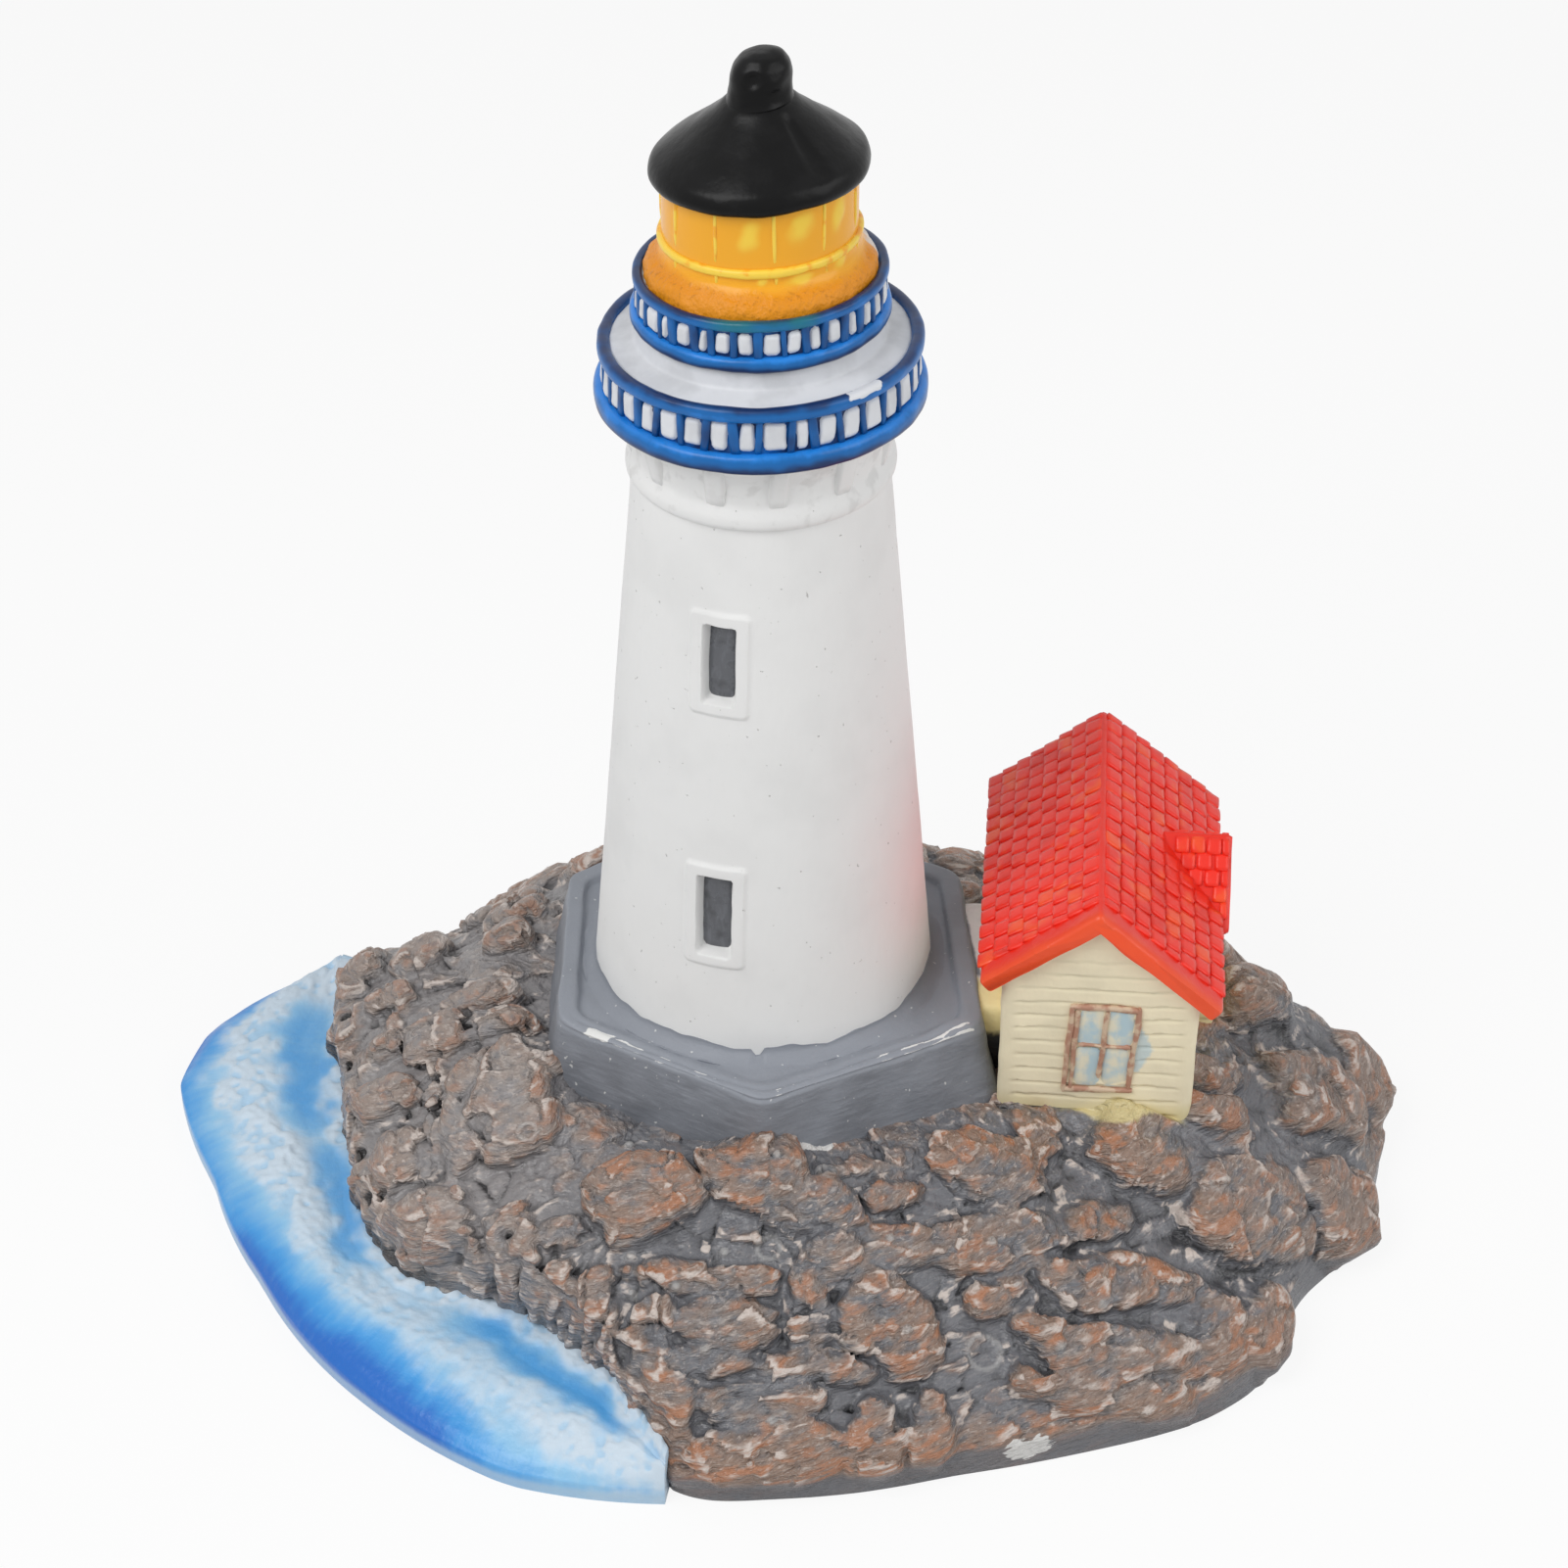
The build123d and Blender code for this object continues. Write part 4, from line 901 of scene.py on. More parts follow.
def shape_sea(look):
    """Return the sea's sections with their foam, and what the paint needs."""
    tree = cad_tree("sea_apron")
    bearings = np.linspace(SEA_FIRST + 0.05, SEA_LAST - 0.05, SEA_SECTIONS)
    rim = []
    shore = []
    for bearing in bearings:
        out = Vector(at_bearing(bearing, 1, 0))
        rim.append(tree.ray_cast(out * OUTSIDE + Vector((0, 0, 1)), -out)[0].xy.length)
        shore.append(tree.ray_cast(Vector((0, 0, 1)), out)[0].xy.length)
    rim = np.array(rim)[:, None]
    shore = np.array(shore)[:, None]
    for _ in range(6):
        rim[1:-1] = (rim[:-2] + 2 * rim[1:-1] + rim[2:]) / 4
    wall = np.linspace(0, 1, 9)[:-1]
    across = np.concatenate([0 * wall, np.linspace(0, 1, 86)])[None, :]
    turn = bearings[:, None] + 0 * across
    reach = rim - (rim - shore) * across
    height = table(across, SEA_HEIGHTS) + 0 * turn
    height[:, :len(wall)] = SEA_HEIGHTS[0][1] * wall
    points = polar(reach, np.radians(turn), height)
    across = across + 0 * turn
    ragged = 0.10 * cloud(points, 3.0, 21) + 0.06 * cloud(points, 1.2, 22)
    foam = ease(np.abs(across - table(turn, FOAM_RIDGE) + ragged), 0.36, 0.08) * table(turn, FOAM_STRENGTH)
    foam = np.maximum(foam, ease(across + ragged, 0.86, 0.98))
    foam = np.maximum(foam, ease(turn + 12 * ragged, -18, -14) * ease(across + ragged, -0.2, 0.2))
    foam = np.maximum(foam, ease(turn, -103, -110) * ease(across + ragged, 0.1, 0.35))
    pool = np.zeros_like(foam)
    for first, last, start, end, strength in POOLS:
        centre = start + (end - start) * np.clip((turn - first) / (last - first), 0, 1)
        body = ease(np.abs(across - centre + ragged), 0.34, 0.0)
        pool = np.maximum(pool, strength * body * between(turn, first, last, 5))
    foam = foam * (1 - 0.9 * pool)
    lumps = cloud(points, 1.5, 23) * 0.4 + cloud(points, 0.8, 24) * 0.5 + cloud(points, 0.5, 25) * 0.35
    swell = foam * (0.15 + lumps) * look.foam_lump / MM + 0.05 * cloud(points, 2.5, 26) - 0.12 * pool
    points[..., 2] += swell * ease(across, 0.0, 0.06)
    points[..., 2] -= 0.5 * ease(across, 0.08, 0.0) * (height > 2.1)
    for _ in range(5):
        points[:, 1:22] = (points[:, :21] + 2 * points[:, 1:22] + points[:, 2:23]) / 4
    # The foam tucks under the rock, and each section closes along the underside
    tuck = points[:, -1:, :].copy()
    tuck[..., :2] *= ((shore - 1.3) / shore)[..., None]
    under = tuck.copy()
    under[..., 2] = 0
    loops = np.concatenate([points, tuck, under], axis=1)
    fields = {
        "across": across, "along": np.radians(turn) * SEA_REACH, "foam": foam, "pool": pool,
        "swell": lumps * foam, "climb": height, "fade": across - table(turn, RIM_DEPTH),
    }
    for name, field in fields.items():
        fields[name] = np.concatenate([field, field[:, -1:], field[:, -1:]], axis=1)
    return loops, fields


def sea_finish(look):
    """Return the sea's paint: a deep rim brushed out into pale foam, with pools behind it."""
    paint = Finish("sea_paint")
    foam = paint.field("foam")
    place = paint.node("ShaderNodeCombineXYZ", {}, {0: paint.field("along"), 1: paint.field("across") * 1.2})
    streak = paint.noise(0.7, 3, place=place)
    broad = paint.noise(5.0, 3)
    grain = paint.noise(0.6, 3)
    fade = paint.field("fade") + 0.1 * (streak - 0.5) + 0.3 * (broad - 0.5)
    paint.start(look.deep, look.middle, paint.step(fade, -0.16, 0.06))
    paint.lay(look.shallow, paint.step(fade, 0.0, 0.26))
    paint.lay(look.foam, 0.5 * paint.step(fade, 0.2, 0.6))
    pool = paint.field("pool") + 0.25 * (streak - 0.5) + 0.3 * (grain - 0.5)
    paint.lay(look.shallow, paint.step(pool, 0.0, 0.6))
    paint.lay(look.middle, 0.9 * paint.step(pool + 0.6 * (broad - 0.5), 0.1, 1.2))
    edge = 0.25 * (grain - 0.5) + 0.35 * (streak - 0.5) + 0.4 * (broad - 0.5)
    white = paint.step(foam + edge + 0.15 * paint.field("swell"), 0.02, 1.0)
    # Painted shade: the foam is tinted pale blue in the hollows between its lumps
    foam_hollow_shade = paint.step(paint.field("swell") + 0.3 * (grain - 0.5), 0.05, -0.35)
    shaded_foam = paint.mix(look.foam, look.shallow, 0.5 * foam_hollow_shade)
    paint.lay(shaded_foam, 0.92 * white)
    lip = paint.step(paint.field("climb") + 0.5 * (broad - 0.5), 1.5, 0.7)
    paint.lay(look.lip, 0.7 * lip)
    return paint.done(0.36 + 0.25 * white, 0.5 * grain + 0.15 * streak, 0.14)


class FIGURINE_OT_sea(bpy.types.Operator):
    """Build the strip of sea with its foam ridge, pools and foaming shore."""

    bl_idname = "figurine.sea"
    bl_label = "Sea"

    def execute(self, context):
        look = context.scene.figurine.sea
        loops, fields = shape_sea(look)
        make_piece("sea", [tube(loops)], sea_finish(look), ["sea_apron"], fields, 80)
        return {"FINISHED"}


# Terrace
FILLET_REACH = 1.3
FILLET_RISE = 1.2
CORNER_STRETCH = 0.068
# Chips in the front edges: first and last bearing, and how wide
EDGE_CHIPS = [
    (-53, -46, 0.36), (-45, -36, 0.14), (-31, -27, 0.1), (-19, -15, 0.12), (3, 5, 0.1),
    (33, 37, 0.1), (40, 58, 0.13),
]


def shape_terrace(look):
    """Return the terrace's points, with its kerb, battered sides and the fillet round the tower."""
    bearings = ring_bearings(480)
    side = soften([(BATTER * (TERRACE_TOP - TERRACE_FOOT), TERRACE_FOOT), (0, TERRACE_TOP)], 0.35, 0)[:-1]
    kerb = [(0, TERRACE_TOP), (-1.6, TERRACE_TOP), (-1.9, TERRACE_FLOOR), (-2.4, TERRACE_FLOOR)]
    profile = soften(np.concatenate([side, soften(kerb, 0.16, 2)]), 0.16, 3)
    # The right front corner reaches out to the cottage
    stretch = 1 + CORNER_STRETCH * np.clip(1 - np.abs(bearings - 60) / 60, 0, 1)
    hexagon = hexagon_reach(bearings, TERRACE_RADIUS) * stretch
    apothem = TERRACE_RADIUS * cos(radians(30))
    reach = hexagon[None, :] * (apothem + profile[:, :1]) / apothem
    height = profile[:, 1:] + 0 * reach
    shares = np.linspace(0, 1, 26)[1:, None]
    floor = reach[-1:] * (1 - shares) + (TOWER_FOOT + FILLET_REACH) * shares
    # The floor sweeps up the tower's foot, less where the white paint has run down
    ring = lathe(np.array([[TOWER_FOOT, 0.0]]), bearings)
    run = ease(np.abs(bearings + 1.5), 2.6, 0.6)[None, :]
    rise = FILLET_RISE + 0.35 * cloud(ring, 3.0, 33) + 0.2 * cloud(ring, 1.2, 34) - 0.75 * run
    climb = np.linspace(0, 1, 9)[1:, None]
    sweep = tower_reach(TERRACE_FLOOR + rise) + 0.06 + FILLET_REACH * (1 - climb) ** 2.2 + 0 * rise
    lip = TERRACE_FLOOR + rise * climb
    inner = np.full_like(rise, TOWER_FOOT - 1.5)
    rows = len(reach)
    reach = np.concatenate([reach, floor, sweep, inner])
    height = np.concatenate([height, TERRACE_FLOOR + 0 * floor, lip, lip[-1:]])
    turn = np.radians(bearings)[None, :]
    grid = polar(reach, turn, height)
    # The kerb is low along the two front sides, where a fine crease runs under the edge
    fronting = between(bearings, -58, 52, 5)[None, :]
    outer = np.zeros_like(reach)
    outer[:rows] = 1
    drop = (TERRACE_TOP - TERRACE_FLOOR - look.front_kerb / MM) * fronting * outer
    grid[..., 2] -= drop * ease(height, TERRACE_FLOOR, TERRACE_TOP) * ease(height, 17, 21.5)
    below = np.zeros_like(reach)
    below[:rows] = (TERRACE_TOP - profile[:, 1:]) * (profile[:, :1] > -0.3) - np.minimum(profile[:, :1], 0)
    below[rows:] = 9
    rough = 0.16 * cloud(grid, 3.6, 31) + 0.07 * cloud(grid, 1.3, 32)
    crease = fronting * 0.16 * ease(np.abs(below - 0.75 + 0.2 * cloud(grid, 4, 35)), 0.3, 0.05)
    calm = np.ones_like(reach)
    calm[rows + len(floor):] = 0.2
    grid = raised(grid, rough * calm - crease * ease(height, 20, 21))
    chip = np.zeros_like(reach)
    wander = 0.25 * cloud(grid, 1.6, 36) + 0.12 * cloud(grid, 0.7, 37)
    for first, last, width in EDGE_CHIPS:
        body = ease(np.abs(below - 0.45 + wander), width + 0.1, width - 0.1)
        chip = np.maximum(chip, body * between(bearings, first, last, 1.2)[None, :])
    rim = ease(below, 0.6, 0.1) * outer
    return grid, {"chip": chip, "edge": rim}


def terrace_finish(look):
    """Return the terrace's grey paint, with brush streaks, worn edges, chips and a painted light over its
    top.
    """
    paint = Finish("terrace_paint")
    streak = paint.noise(0.8, 4, (0.3, 0.3, 2.0))
    broad = paint.noise(6.0, 3)
    grain = paint.noise(0.45, 3)
    light = tone(look.grey, 1.3)
    dark = tone(look.grey, 0.8)
    paint.start(dark, look.grey, paint.step(broad + 0.5 * (streak - 0.5), 0.3, 0.6))
    paint.lay(light, 0.5 * paint.step(streak + 0.4 * (broad - 0.5), 0.54, 0.76))
    paint.lay(light, 0.6 * paint.field("edge") * paint.step(grain, 0.4, 0.6))
    # Painted light: everything from the floor up is painted lighter, as the floor lies in the shade of the
    # tower and the cottage
    paint.lay(light, 0.8 * paint.step(paint.axes()[2], 20.6, 21.2))
    paint.lay(look.chip, 0.6 * paint.step(paint.noise(0.5, 1), 0.74, 0.78))
    paint.lay(look.chip, paint.step(paint.field("chip") + 0.8 * (grain - 0.5), 0.42, 0.58))
    return paint.done(0.42 + 0.2 * broad, 0.5 * streak + 0.4 * grain, 0.12)


class FIGURINE_OT_terrace(bpy.types.Operator):
    """Build the hexagonal terrace with its kerb."""

    bl_idname = "figurine.terrace"
    bl_label = "Terrace"

    def execute(self, context):
        look = context.scene.figurine.terrace
        grid, fields = shape_terrace(look)
        grey = terrace_finish(look)
        make_piece("terrace", [tube(grid)], grey, ["terrace_plinth"], fields, 60)
        return {"FINISHED"}


# Tower
TOWER_FOOT = 15.4
TOWER_HEAD = 10.75
TOWER_LOW = 21.2
TOWER_HIGH = 73.6
WINDOW_BEARING = -17.0
# Tower windows: name, middle height, width and height
TOWER_WINDOWS = [("upper", 60.4, 2.8, 7.3), ("lower", 35.7, 3.1, 7.9)]
WINDOW_BORDER = 1.15
WINDOW_RELIEF = 0.26
WINDOW_RECESS = 1.0
# Finer rows reach this far above and below a window's middle
WINDOW_ROWS = 6.2
# Grey of the painted shade in the small pits, and of the blotches of painted shade on the collar
PIT_SHADE_GREY = (0.42, 0.41, 0.40)
SHADE_BLOTCH_GREY = (0.50, 0.49, 0.48)


def tower_reach(height):
    """Return the tower's radius at a height."""
    return TOWER_FOOT + (TOWER_HEAD - TOWER_FOOT) * (height - TOWER_LOW) / (TOWER_HIGH - TOWER_LOW)


def box_distance(across, up, half_width, half_height, corner):
    """Return the distance outside a rounded rectangle, negative inside it."""
    x = np.abs(across) - half_width + corner
    y = np.abs(up) - half_height + corner
    outside = np.hypot(np.maximum(x, 0), np.maximum(y, 0))
    return outside + np.minimum(np.maximum(x, y), 0) - corner


def shape_tower(look):
    """Return the tower's points, with its raised window borders and recesses."""
    bearings = np.unique(np.concatenate([ring_bearings(150), np.linspace(-30, -4, 105)]))
    heights = [np.linspace(TOWER_LOW - 0.4, TOWER_HIGH + 0.3, 84)]
    for _, middle, _, _ in TOWER_WINDOWS:
        heights.append(np.linspace(middle - WINDOW_ROWS, middle + WINDOW_ROWS, 76))
    heights = np.unique(np.concatenate(heights))
    profile = np.stack([tower_reach(heights), heights], axis=1)
    grid = lathe(profile, bearings)
    arc = np.radians(bearings - WINDOW_BEARING)[None, :] * profile[:, :1]
    lump = look.lump / MM
    push = lump * cloud(grid, 6, 41) + 0.5 * lump * cloud(grid, 2.2, 42)
    for _, middle, width, tall in TOWER_WINDOWS:
        up = heights[:, None] - middle
        skew = 0.05 * cloud(grid, 1.5, 43)
        outer = box_distance(arc, up, width / 2 + WINDOW_BORDER, tall / 2 + WINDOW_BORDER, 0.5)
        inner = box_distance(arc, up, width / 2, tall / 2, 0.35) + skew
        push = push + WINDOW_RELIEF * ease(outer + skew, 0.22, -0.22)
        push = push - (WINDOW_RECESS + WINDOW_RELIEF) * ease(inner, 0.12, -0.22)
    turn = np.radians(bearings)[None, :]
    grid[..., 0] += push * np.sin(turn)
    grid[..., 1] -= push * np.cos(turn)
    return grid


def white_finish(name, white, shade_blotch=0.0):
    """Return the matt white paint, with small pits painted grey as their shade, faint brush marks and, if
    asked, grey blotches of painted shade.
    """
    paint = Finish(name)
    broad = paint.noise(7.0, 3)
    grain = paint.noise(0.45, 2)
    brush = paint.noise(0.8, 3, (1.0, 1.0, 0.4))
    paint.start(white, tone(white, 0.955), paint.step(broad, 0.45, 0.75))
    # Painted shade: small pits are painted grey, as the shade inside them
    shaded_pit = paint.step(grain, 0.735, 0.77)
    paint.lay(PIT_SHADE_GREY, 0.7 * shaded_pit)
    # Painted shade: grey blotches stand in for the shade in the collar's recessed panels
    if shade_blotch:
        grey = paint.step(paint.noise(1.6, 3), 0.52, 0.68)
        paint.lay(SHADE_BLOTCH_GREY, shade_blotch * grey)
    height = 0.6 * brush + 0.25 * broad - 0.8 * shaded_pit
    return paint.done(0.5 + 0.2 * broad, height, 0.07)


def pane_finish(grey):
    """Return the glossy brushed paint of the recessed tower windows."""
    paint = Finish("tower_window_paint")
    broad = paint.noise(1.6, 3)
    streak = paint.noise(0.5, 3, (1.0, 1.0, 0.25))
    paint.start(tone(grey, 0.6), grey, paint.step(broad, 0.32, 0.5))
    paint.lay(tone(grey, 1.35), 0.6 * paint.step(streak + 0.5 * (broad - 0.5), 0.55, 0.7))
    return paint.done(0.2 + 0.15 * broad, streak, 0.08)


def window_pane(middle, width, tall):
    """Return the shell of one pillowed pane at the bottom of its recess."""
    rings = [(0.0, -0.5), (0.0, -0.1), (0.12, 0.06), (0.35, 0.16), (0.7, 0.22), (1.1, 0.24), (1.35, 0.22)]
    loops = []
    for inset, rise in rings:
        half = max(width / 2 - inset, 0.05)
        loop = rounded_loop(half, max(tall / 2 - inset, 0.05), 48)
        height = middle + loop[:, 1]
        reach = tower_reach(height) - WINDOW_RECESS + rise
        turn = radians(WINDOW_BEARING) + loop[:, 0] / tower_reach(middle)
        loops.append(polar(reach, turn, height))
    grid = np.array(loops)
    return tube(grid + 0.05 * cloud(grid, 1.1, 44)[..., None] * at_bearing(WINDOW_BEARING, 1, 0))


class FIGURINE_OT_tower(bpy.types.Operator):
    """Build the tower with its two windows."""

    bl_idname = "figurine.tower"
    bl_label = "Tower"

    def execute(self, context):
        look = context.scene.figurine.tower
        white = white_finish("tower_paint", look.white)
        make_piece("tower", [tube(shape_tower(look))], white, ["tower_shaft"], sharp=55)
        grey = pane_finish(look.pane)
        for name, middle, width, tall in TOWER_WINDOWS:
            node = "tower_window_" + name
            make_piece("window_" + name, [window_pane(middle, width, tall)], grey, [node])
        return {"FINISHED"}


# Collar under the lower gallery
# Points round the collar, the rails and the lantern
AROUND = 300
COLLAR = [
    (9.6, 73.0), (10.95, 73.05), (11.3, 73.5), (11.3, 74.3), (11.0, 74.9), (10.78, 75.2), (10.85, 77.2),
    (11.3, 78.5), (12.3, 79.4), (12.8, 79.9), (12.7, 80.4), (12.0, 80.6),
]
CORBELS = 12
CORBEL_FIRST = 9
CORBEL_SIZE = (1.75, 1.1, 4.6)
CORBEL_PLACE = (10.84, 77.3)


class FIGURINE_OT_collar(bpy.types.Operator):
    """Build the collar with its ring of flat brackets."""

    bl_idname = "figurine.collar"
    bl_label = "Collar"

    def execute(self, context):
        look = context.scene.figurine.tower
        # The collar gets grey blotches of painted shade for its recessed panels
        white = white_finish("collar_paint", look.white, 0.3)
        grid = lathe(soften(COLLAR, 0.2, 2), ring_bearings(AROUND))
        panel = between(grid[..., 2], 75.4, 79.2, 0.4)
        fine = 0.09 * cloud(grid, 1.6, 52) + 0.07 * cloud(grid, 0.8, 53)
        rough = 0.04 * cloud(grid, 4.0, 51) + panel * fine
        grid = lean(raised(grid, rough))
        make_piece("collar", [tube(grid)], white, ["corbel_ring"])
        rng = np.random.default_rng(12)
        places = []
        for number in range(CORBELS):
            bearing = CORBEL_FIRST + number * 360 / CORBELS + rng.uniform(-2, 2)
            turn = (radians(12), radians(rng.uniform(-3, 3)), radians(bearing))
            stretch = (rng.uniform(0.9, 1.1), 1, 1)
            places.append((at_bearing(bearing, *CORBEL_PLACE), turn, stretch, rng.uniform()))
        # The brackets get fewer blotches of painted shade
        plain = white_finish("bracket_paint", look.white, 0.1)
        make_blocks(
            "collar_brackets", places, CORBEL_SIZE, plain, [], 0.08, 0.12, 3, True, 0.85,
        )
        return {"FINISHED"}


# Galleries
# Each gallery: foot radius, top radius, foot level, rail height, panel height, handrail height,
# rail reach, handrail reach, inner radius of the handrail, number of balusters
GALLERIES = {
    "lower": (13.1, 12.7, 80.0, 1.45, 3.05, 1.1, 13.75, 13.35, 12.3, 36),
    "upper": (10.1, 9.9, 87.4, 1.0, 2.5, 0.8, 10.6, 10.35, 9.5, 34),
}
NECK_RADIUS = 9.8
NECK_LEVEL = 87.6
TABLET_RISE = 0.34
# Points round a rail's section
RAIL_POINTS = 28
# White paint run over the lower handrail: first and last bearing
SMEAR = (31, 46)
BALUSTER = (0.6, 0.7)


def blue_finish(name, look, shade_bias=0.0, tint=None):
    """Return the pearly blue paint, with painted shade where it lies away from the light and a painted
    highlight where it faces it.
    """
    paint = Finish(name)
    broad = paint.noise(2.4, 2)
    grain = paint.noise(0.35, 2)
    # Painted light and shade: the lift field, how far a point faces up, makes the paint darker or lighter;
    # the bias adds more painted shade
    lift = paint.field("lift") + shade_bias + 1.3 * (broad - 0.5)
    paint.start(look.dark, look.blue, paint.step(lift, -0.6, 0.25))
    # Painted highlight where the paint faces the light
    paint.lay(tone(look.blue, 1.9, 0.02), 0.7 * paint.step(lift + 0.3 * (grain - 0.5), 0.3, 0.95))
    if tint:
        paint.lay(tint, 0.75 * paint.field("tint"))
    paint.lay(look.white, paint.step(paint.field("smear") + 0.5 * (grain - 0.5), 0.4, 0.6))
    return paint.done(0.26 + 0.12 * broad, broad, 0.06, Specular_IOR_Level=0.35)


def gallery_white_finish(look):
    """Return the satin white of the tablets and decks, with blue between the tablets."""
    paint = Finish("gallery_paint")
    broad = paint.noise(3.0, 3)
    grain = paint.noise(0.6, 3)
    paint.start(look.white, tone(look.white, 0.86), paint.step(broad, 0.42, 0.7))
    blue = paint.mix(look.dark, look.blue, paint.step(broad, 0.45, 0.65))
    paint.lay(blue, paint.step(paint.field("blue") + 0.35 * (grain - 0.5), 0.4, 0.6))
    return paint.done(0.4 + 0.2 * broad, 0.5 * broad + 0.4 * grain, 0.1)


def rail_grid(inner, outer, low, high, lump, seed):
    """Return a slightly uneven rail, of rounded section, that runs round the tower."""
    middle = np.array([[(inner + outer) / 2, (low + high) / 2]])
    section = middle + rounded_loop((outer - inner) / 2, (high - low) / 2, RAIL_POINTS, 2.8)
    grid = lathe(section, ring_bearings(AROUND))
    out = grid - lathe(middle, ring_bearings(AROUND))
    out = out / np.linalg.norm(out, axis=-1, keepdims=True)
    rough = lump * cloud(grid, 3.0, seed) + 0.5 * lump * cloud(grid, 1.2, seed + 1)
    return lean(grid + out * rough[..., None])


def drum_shell(profile, low, high, reach, bars, seed):
    """Return a gallery's drum, its white tablets standing out between the bars, and where it is blue."""
    bearings = ring_bearings(640)
    grid = lathe(soften(profile, 0.16, 2), bearings)
    height = grid[..., 2]
    beside = np.full(height.shape, 9.0)
    for bearing, slant, width in bars:
        apart = np.radians((bearings - bearing + 180) % 360 - 180)[None, :] * reach
        apart = apart + tan(slant) * (height - (low + high) / 2)
        beside = np.minimum(beside, np.abs(apart) - width / 2)
    beside = beside + 0.09 * cloud(grid, 0.9, seed)
    upright = np.minimum(height - low - 0.3, high - 0.2 - height) + 0.12 * cloud(grid, 1.5, seed + 1)
    inside = 0.45 - np.hypot(np.maximum(0.45 - beside, 0), np.maximum(0.45 - upright, 0))
    tablet = ease(inside, 0.0, 0.14)
    pillow = ease(inside, -0.05, 0.35)
    rough = 0.07 * cloud(grid, 2.2, seed + 2) + 0.03 * cloud(grid, 0.9, seed + 3)
    grid = lean(raised(grid, rough + TABLET_RISE * pillow))
    return tube(grid), (1 - tablet) * ease(height, high + 0.45, high + 0.25)


class FIGURINE_OT_galleries(bpy.types.Operator):
    """Build both galleries: white drums, blue rails, balusters and handrails."""

    bl_idname = "figurine.galleries"
    bl_label = "Galleries"

    def execute(self, context):
        look = context.scene.figurine.gallery
        white = gallery_white_finish(look)
        blue = blue_finish("gallery_blue_paint", look)
        teal = blue_finish("gallery_teal_paint", look, 0.0, look.teal)
        # The balusters' blue gets more painted shade, as they stand between the tablets
        shaded_baluster_blue = blue_finish("baluster_paint", look, -0.1)
        lump = look.lump / MM
        around = ring_bearings(AROUND)[None, :]
        # How far each point of a rail faces up, which sets its painted light and shade
        lift = np.sin(np.arange(RAIL_POINTS) * 2 * pi / RAIL_POINTS)[:, None] + 0 * around
        for seed, (name, sizes) in enumerate(GALLERIES.items()):
            foot, top, level, rail, panel, hand, rail_out, hand_out, hand_in, number = sizes
            low = level + rail
            high = low + panel
            deck = high + hand - 0.35
            rng = np.random.default_rng(70 + seed)
            bars = []
            for post in range(number):
                bearing = 360 / number * (post + rng.uniform(-0.13, 0.13))
                bars.append((bearing, rng.uniform(-look.slant, look.slant), rng.uniform(0.42, 0.85)))
            if name == "lower":
                crown = [(hand_in, deck), (NECK_RADIUS + 0.5, deck + 0.5), (NECK_RADIUS, NECK_LEVEL)]
            else:
                crown = [(hand_in, deck), (8.0, deck + 0.1)]
            profile = [(foot - 1.2, level - 0.05), (foot - 0.1, level + 0.1), (top - 0.1, high + 0.2)] + crown
            shell, paint = drum_shell(profile, low, high, foot, bars, 61 + 4 * seed)
            make_piece(
                name + "_drum", [shell], white, [name + "_gallery_drum"], {"blue": paint},
            )
            grid = rail_grid(foot - 0.6, rail_out, level - 0.1, low + 0.15, lump, 75 + seed)
            make_piece(
                name + "_rail", [ring_shell(grid)], blue, [name + "_gallery_rail"],
                {"lift": lift},
            )
            grid = rail_grid(hand_in, hand_out, high - 0.1, high + hand, lump, 77 + seed)
            smear = between(around + 4 * cloud(grid, 1.1, 82), *SMEAR, 2) * (name == "lower")
            smear = smear * ease(lift + 0.8 * cloud(grid, 1.0, 79) + 0.5 * cloud(grid, 2.4, 78), 0.0, 0.5)
            tint = between(around, -22, 26, 8) * ease(cloud(grid, 1.8, 80), -1.1, 0.3)
            # On the handrails the painted shade is turned round: the top is painted darker than the outer
            # face
            fields = {"lift": 0.35 - 0.9 * np.maximum(lift, 0), "smear": smear, "tint": tint}
            make_piece(
                name + "_handrail", [ring_shell(grid)], teal if seed else blue, [name + "_gallery_handrail"],
                fields,
            )
            places = []
            for bearing, slant, width in bars:
                middle = at_bearing(bearing, (foot + top) / 2 - 0.12, (low + high) / 2)
                stretch = (width / BALUSTER[0], 1, 1)
                places.append((middle, (0, slant, radians(bearing)), stretch, rng.uniform()))
            make_blocks(
                name + "_balusters", places, (*BALUSTER, panel + 0.9), shaded_baluster_blue, [name + "_gallery_balusters"],
                0, 0.12, seed, True, 0.3,
            )
        return {"FINISHED"}


# Lantern, cap and vent
LANTERN_RADIUS = 7.9
LANTERN = [
    (8.6, 91.0), (9.5, 91.1), (9.45, 91.9), (9.1, 92.6), (8.4, 93.2), (8.05, 93.8), (7.9, 95.0),
    (7.85, 100.5), (7.0, 100.7),
]
BAND = (94.4, 95.15)
BARS = 11
BAR_FIRST = -25.0
BAR_SIZE = (0.38, 0.6, 5.4)
# Middle heights of the bars above and below the band
BAR_LEVELS = (97.9, 94.3)
# The skirt's amber stops between these bearings, behind the lantern
BARE = (91, 172)
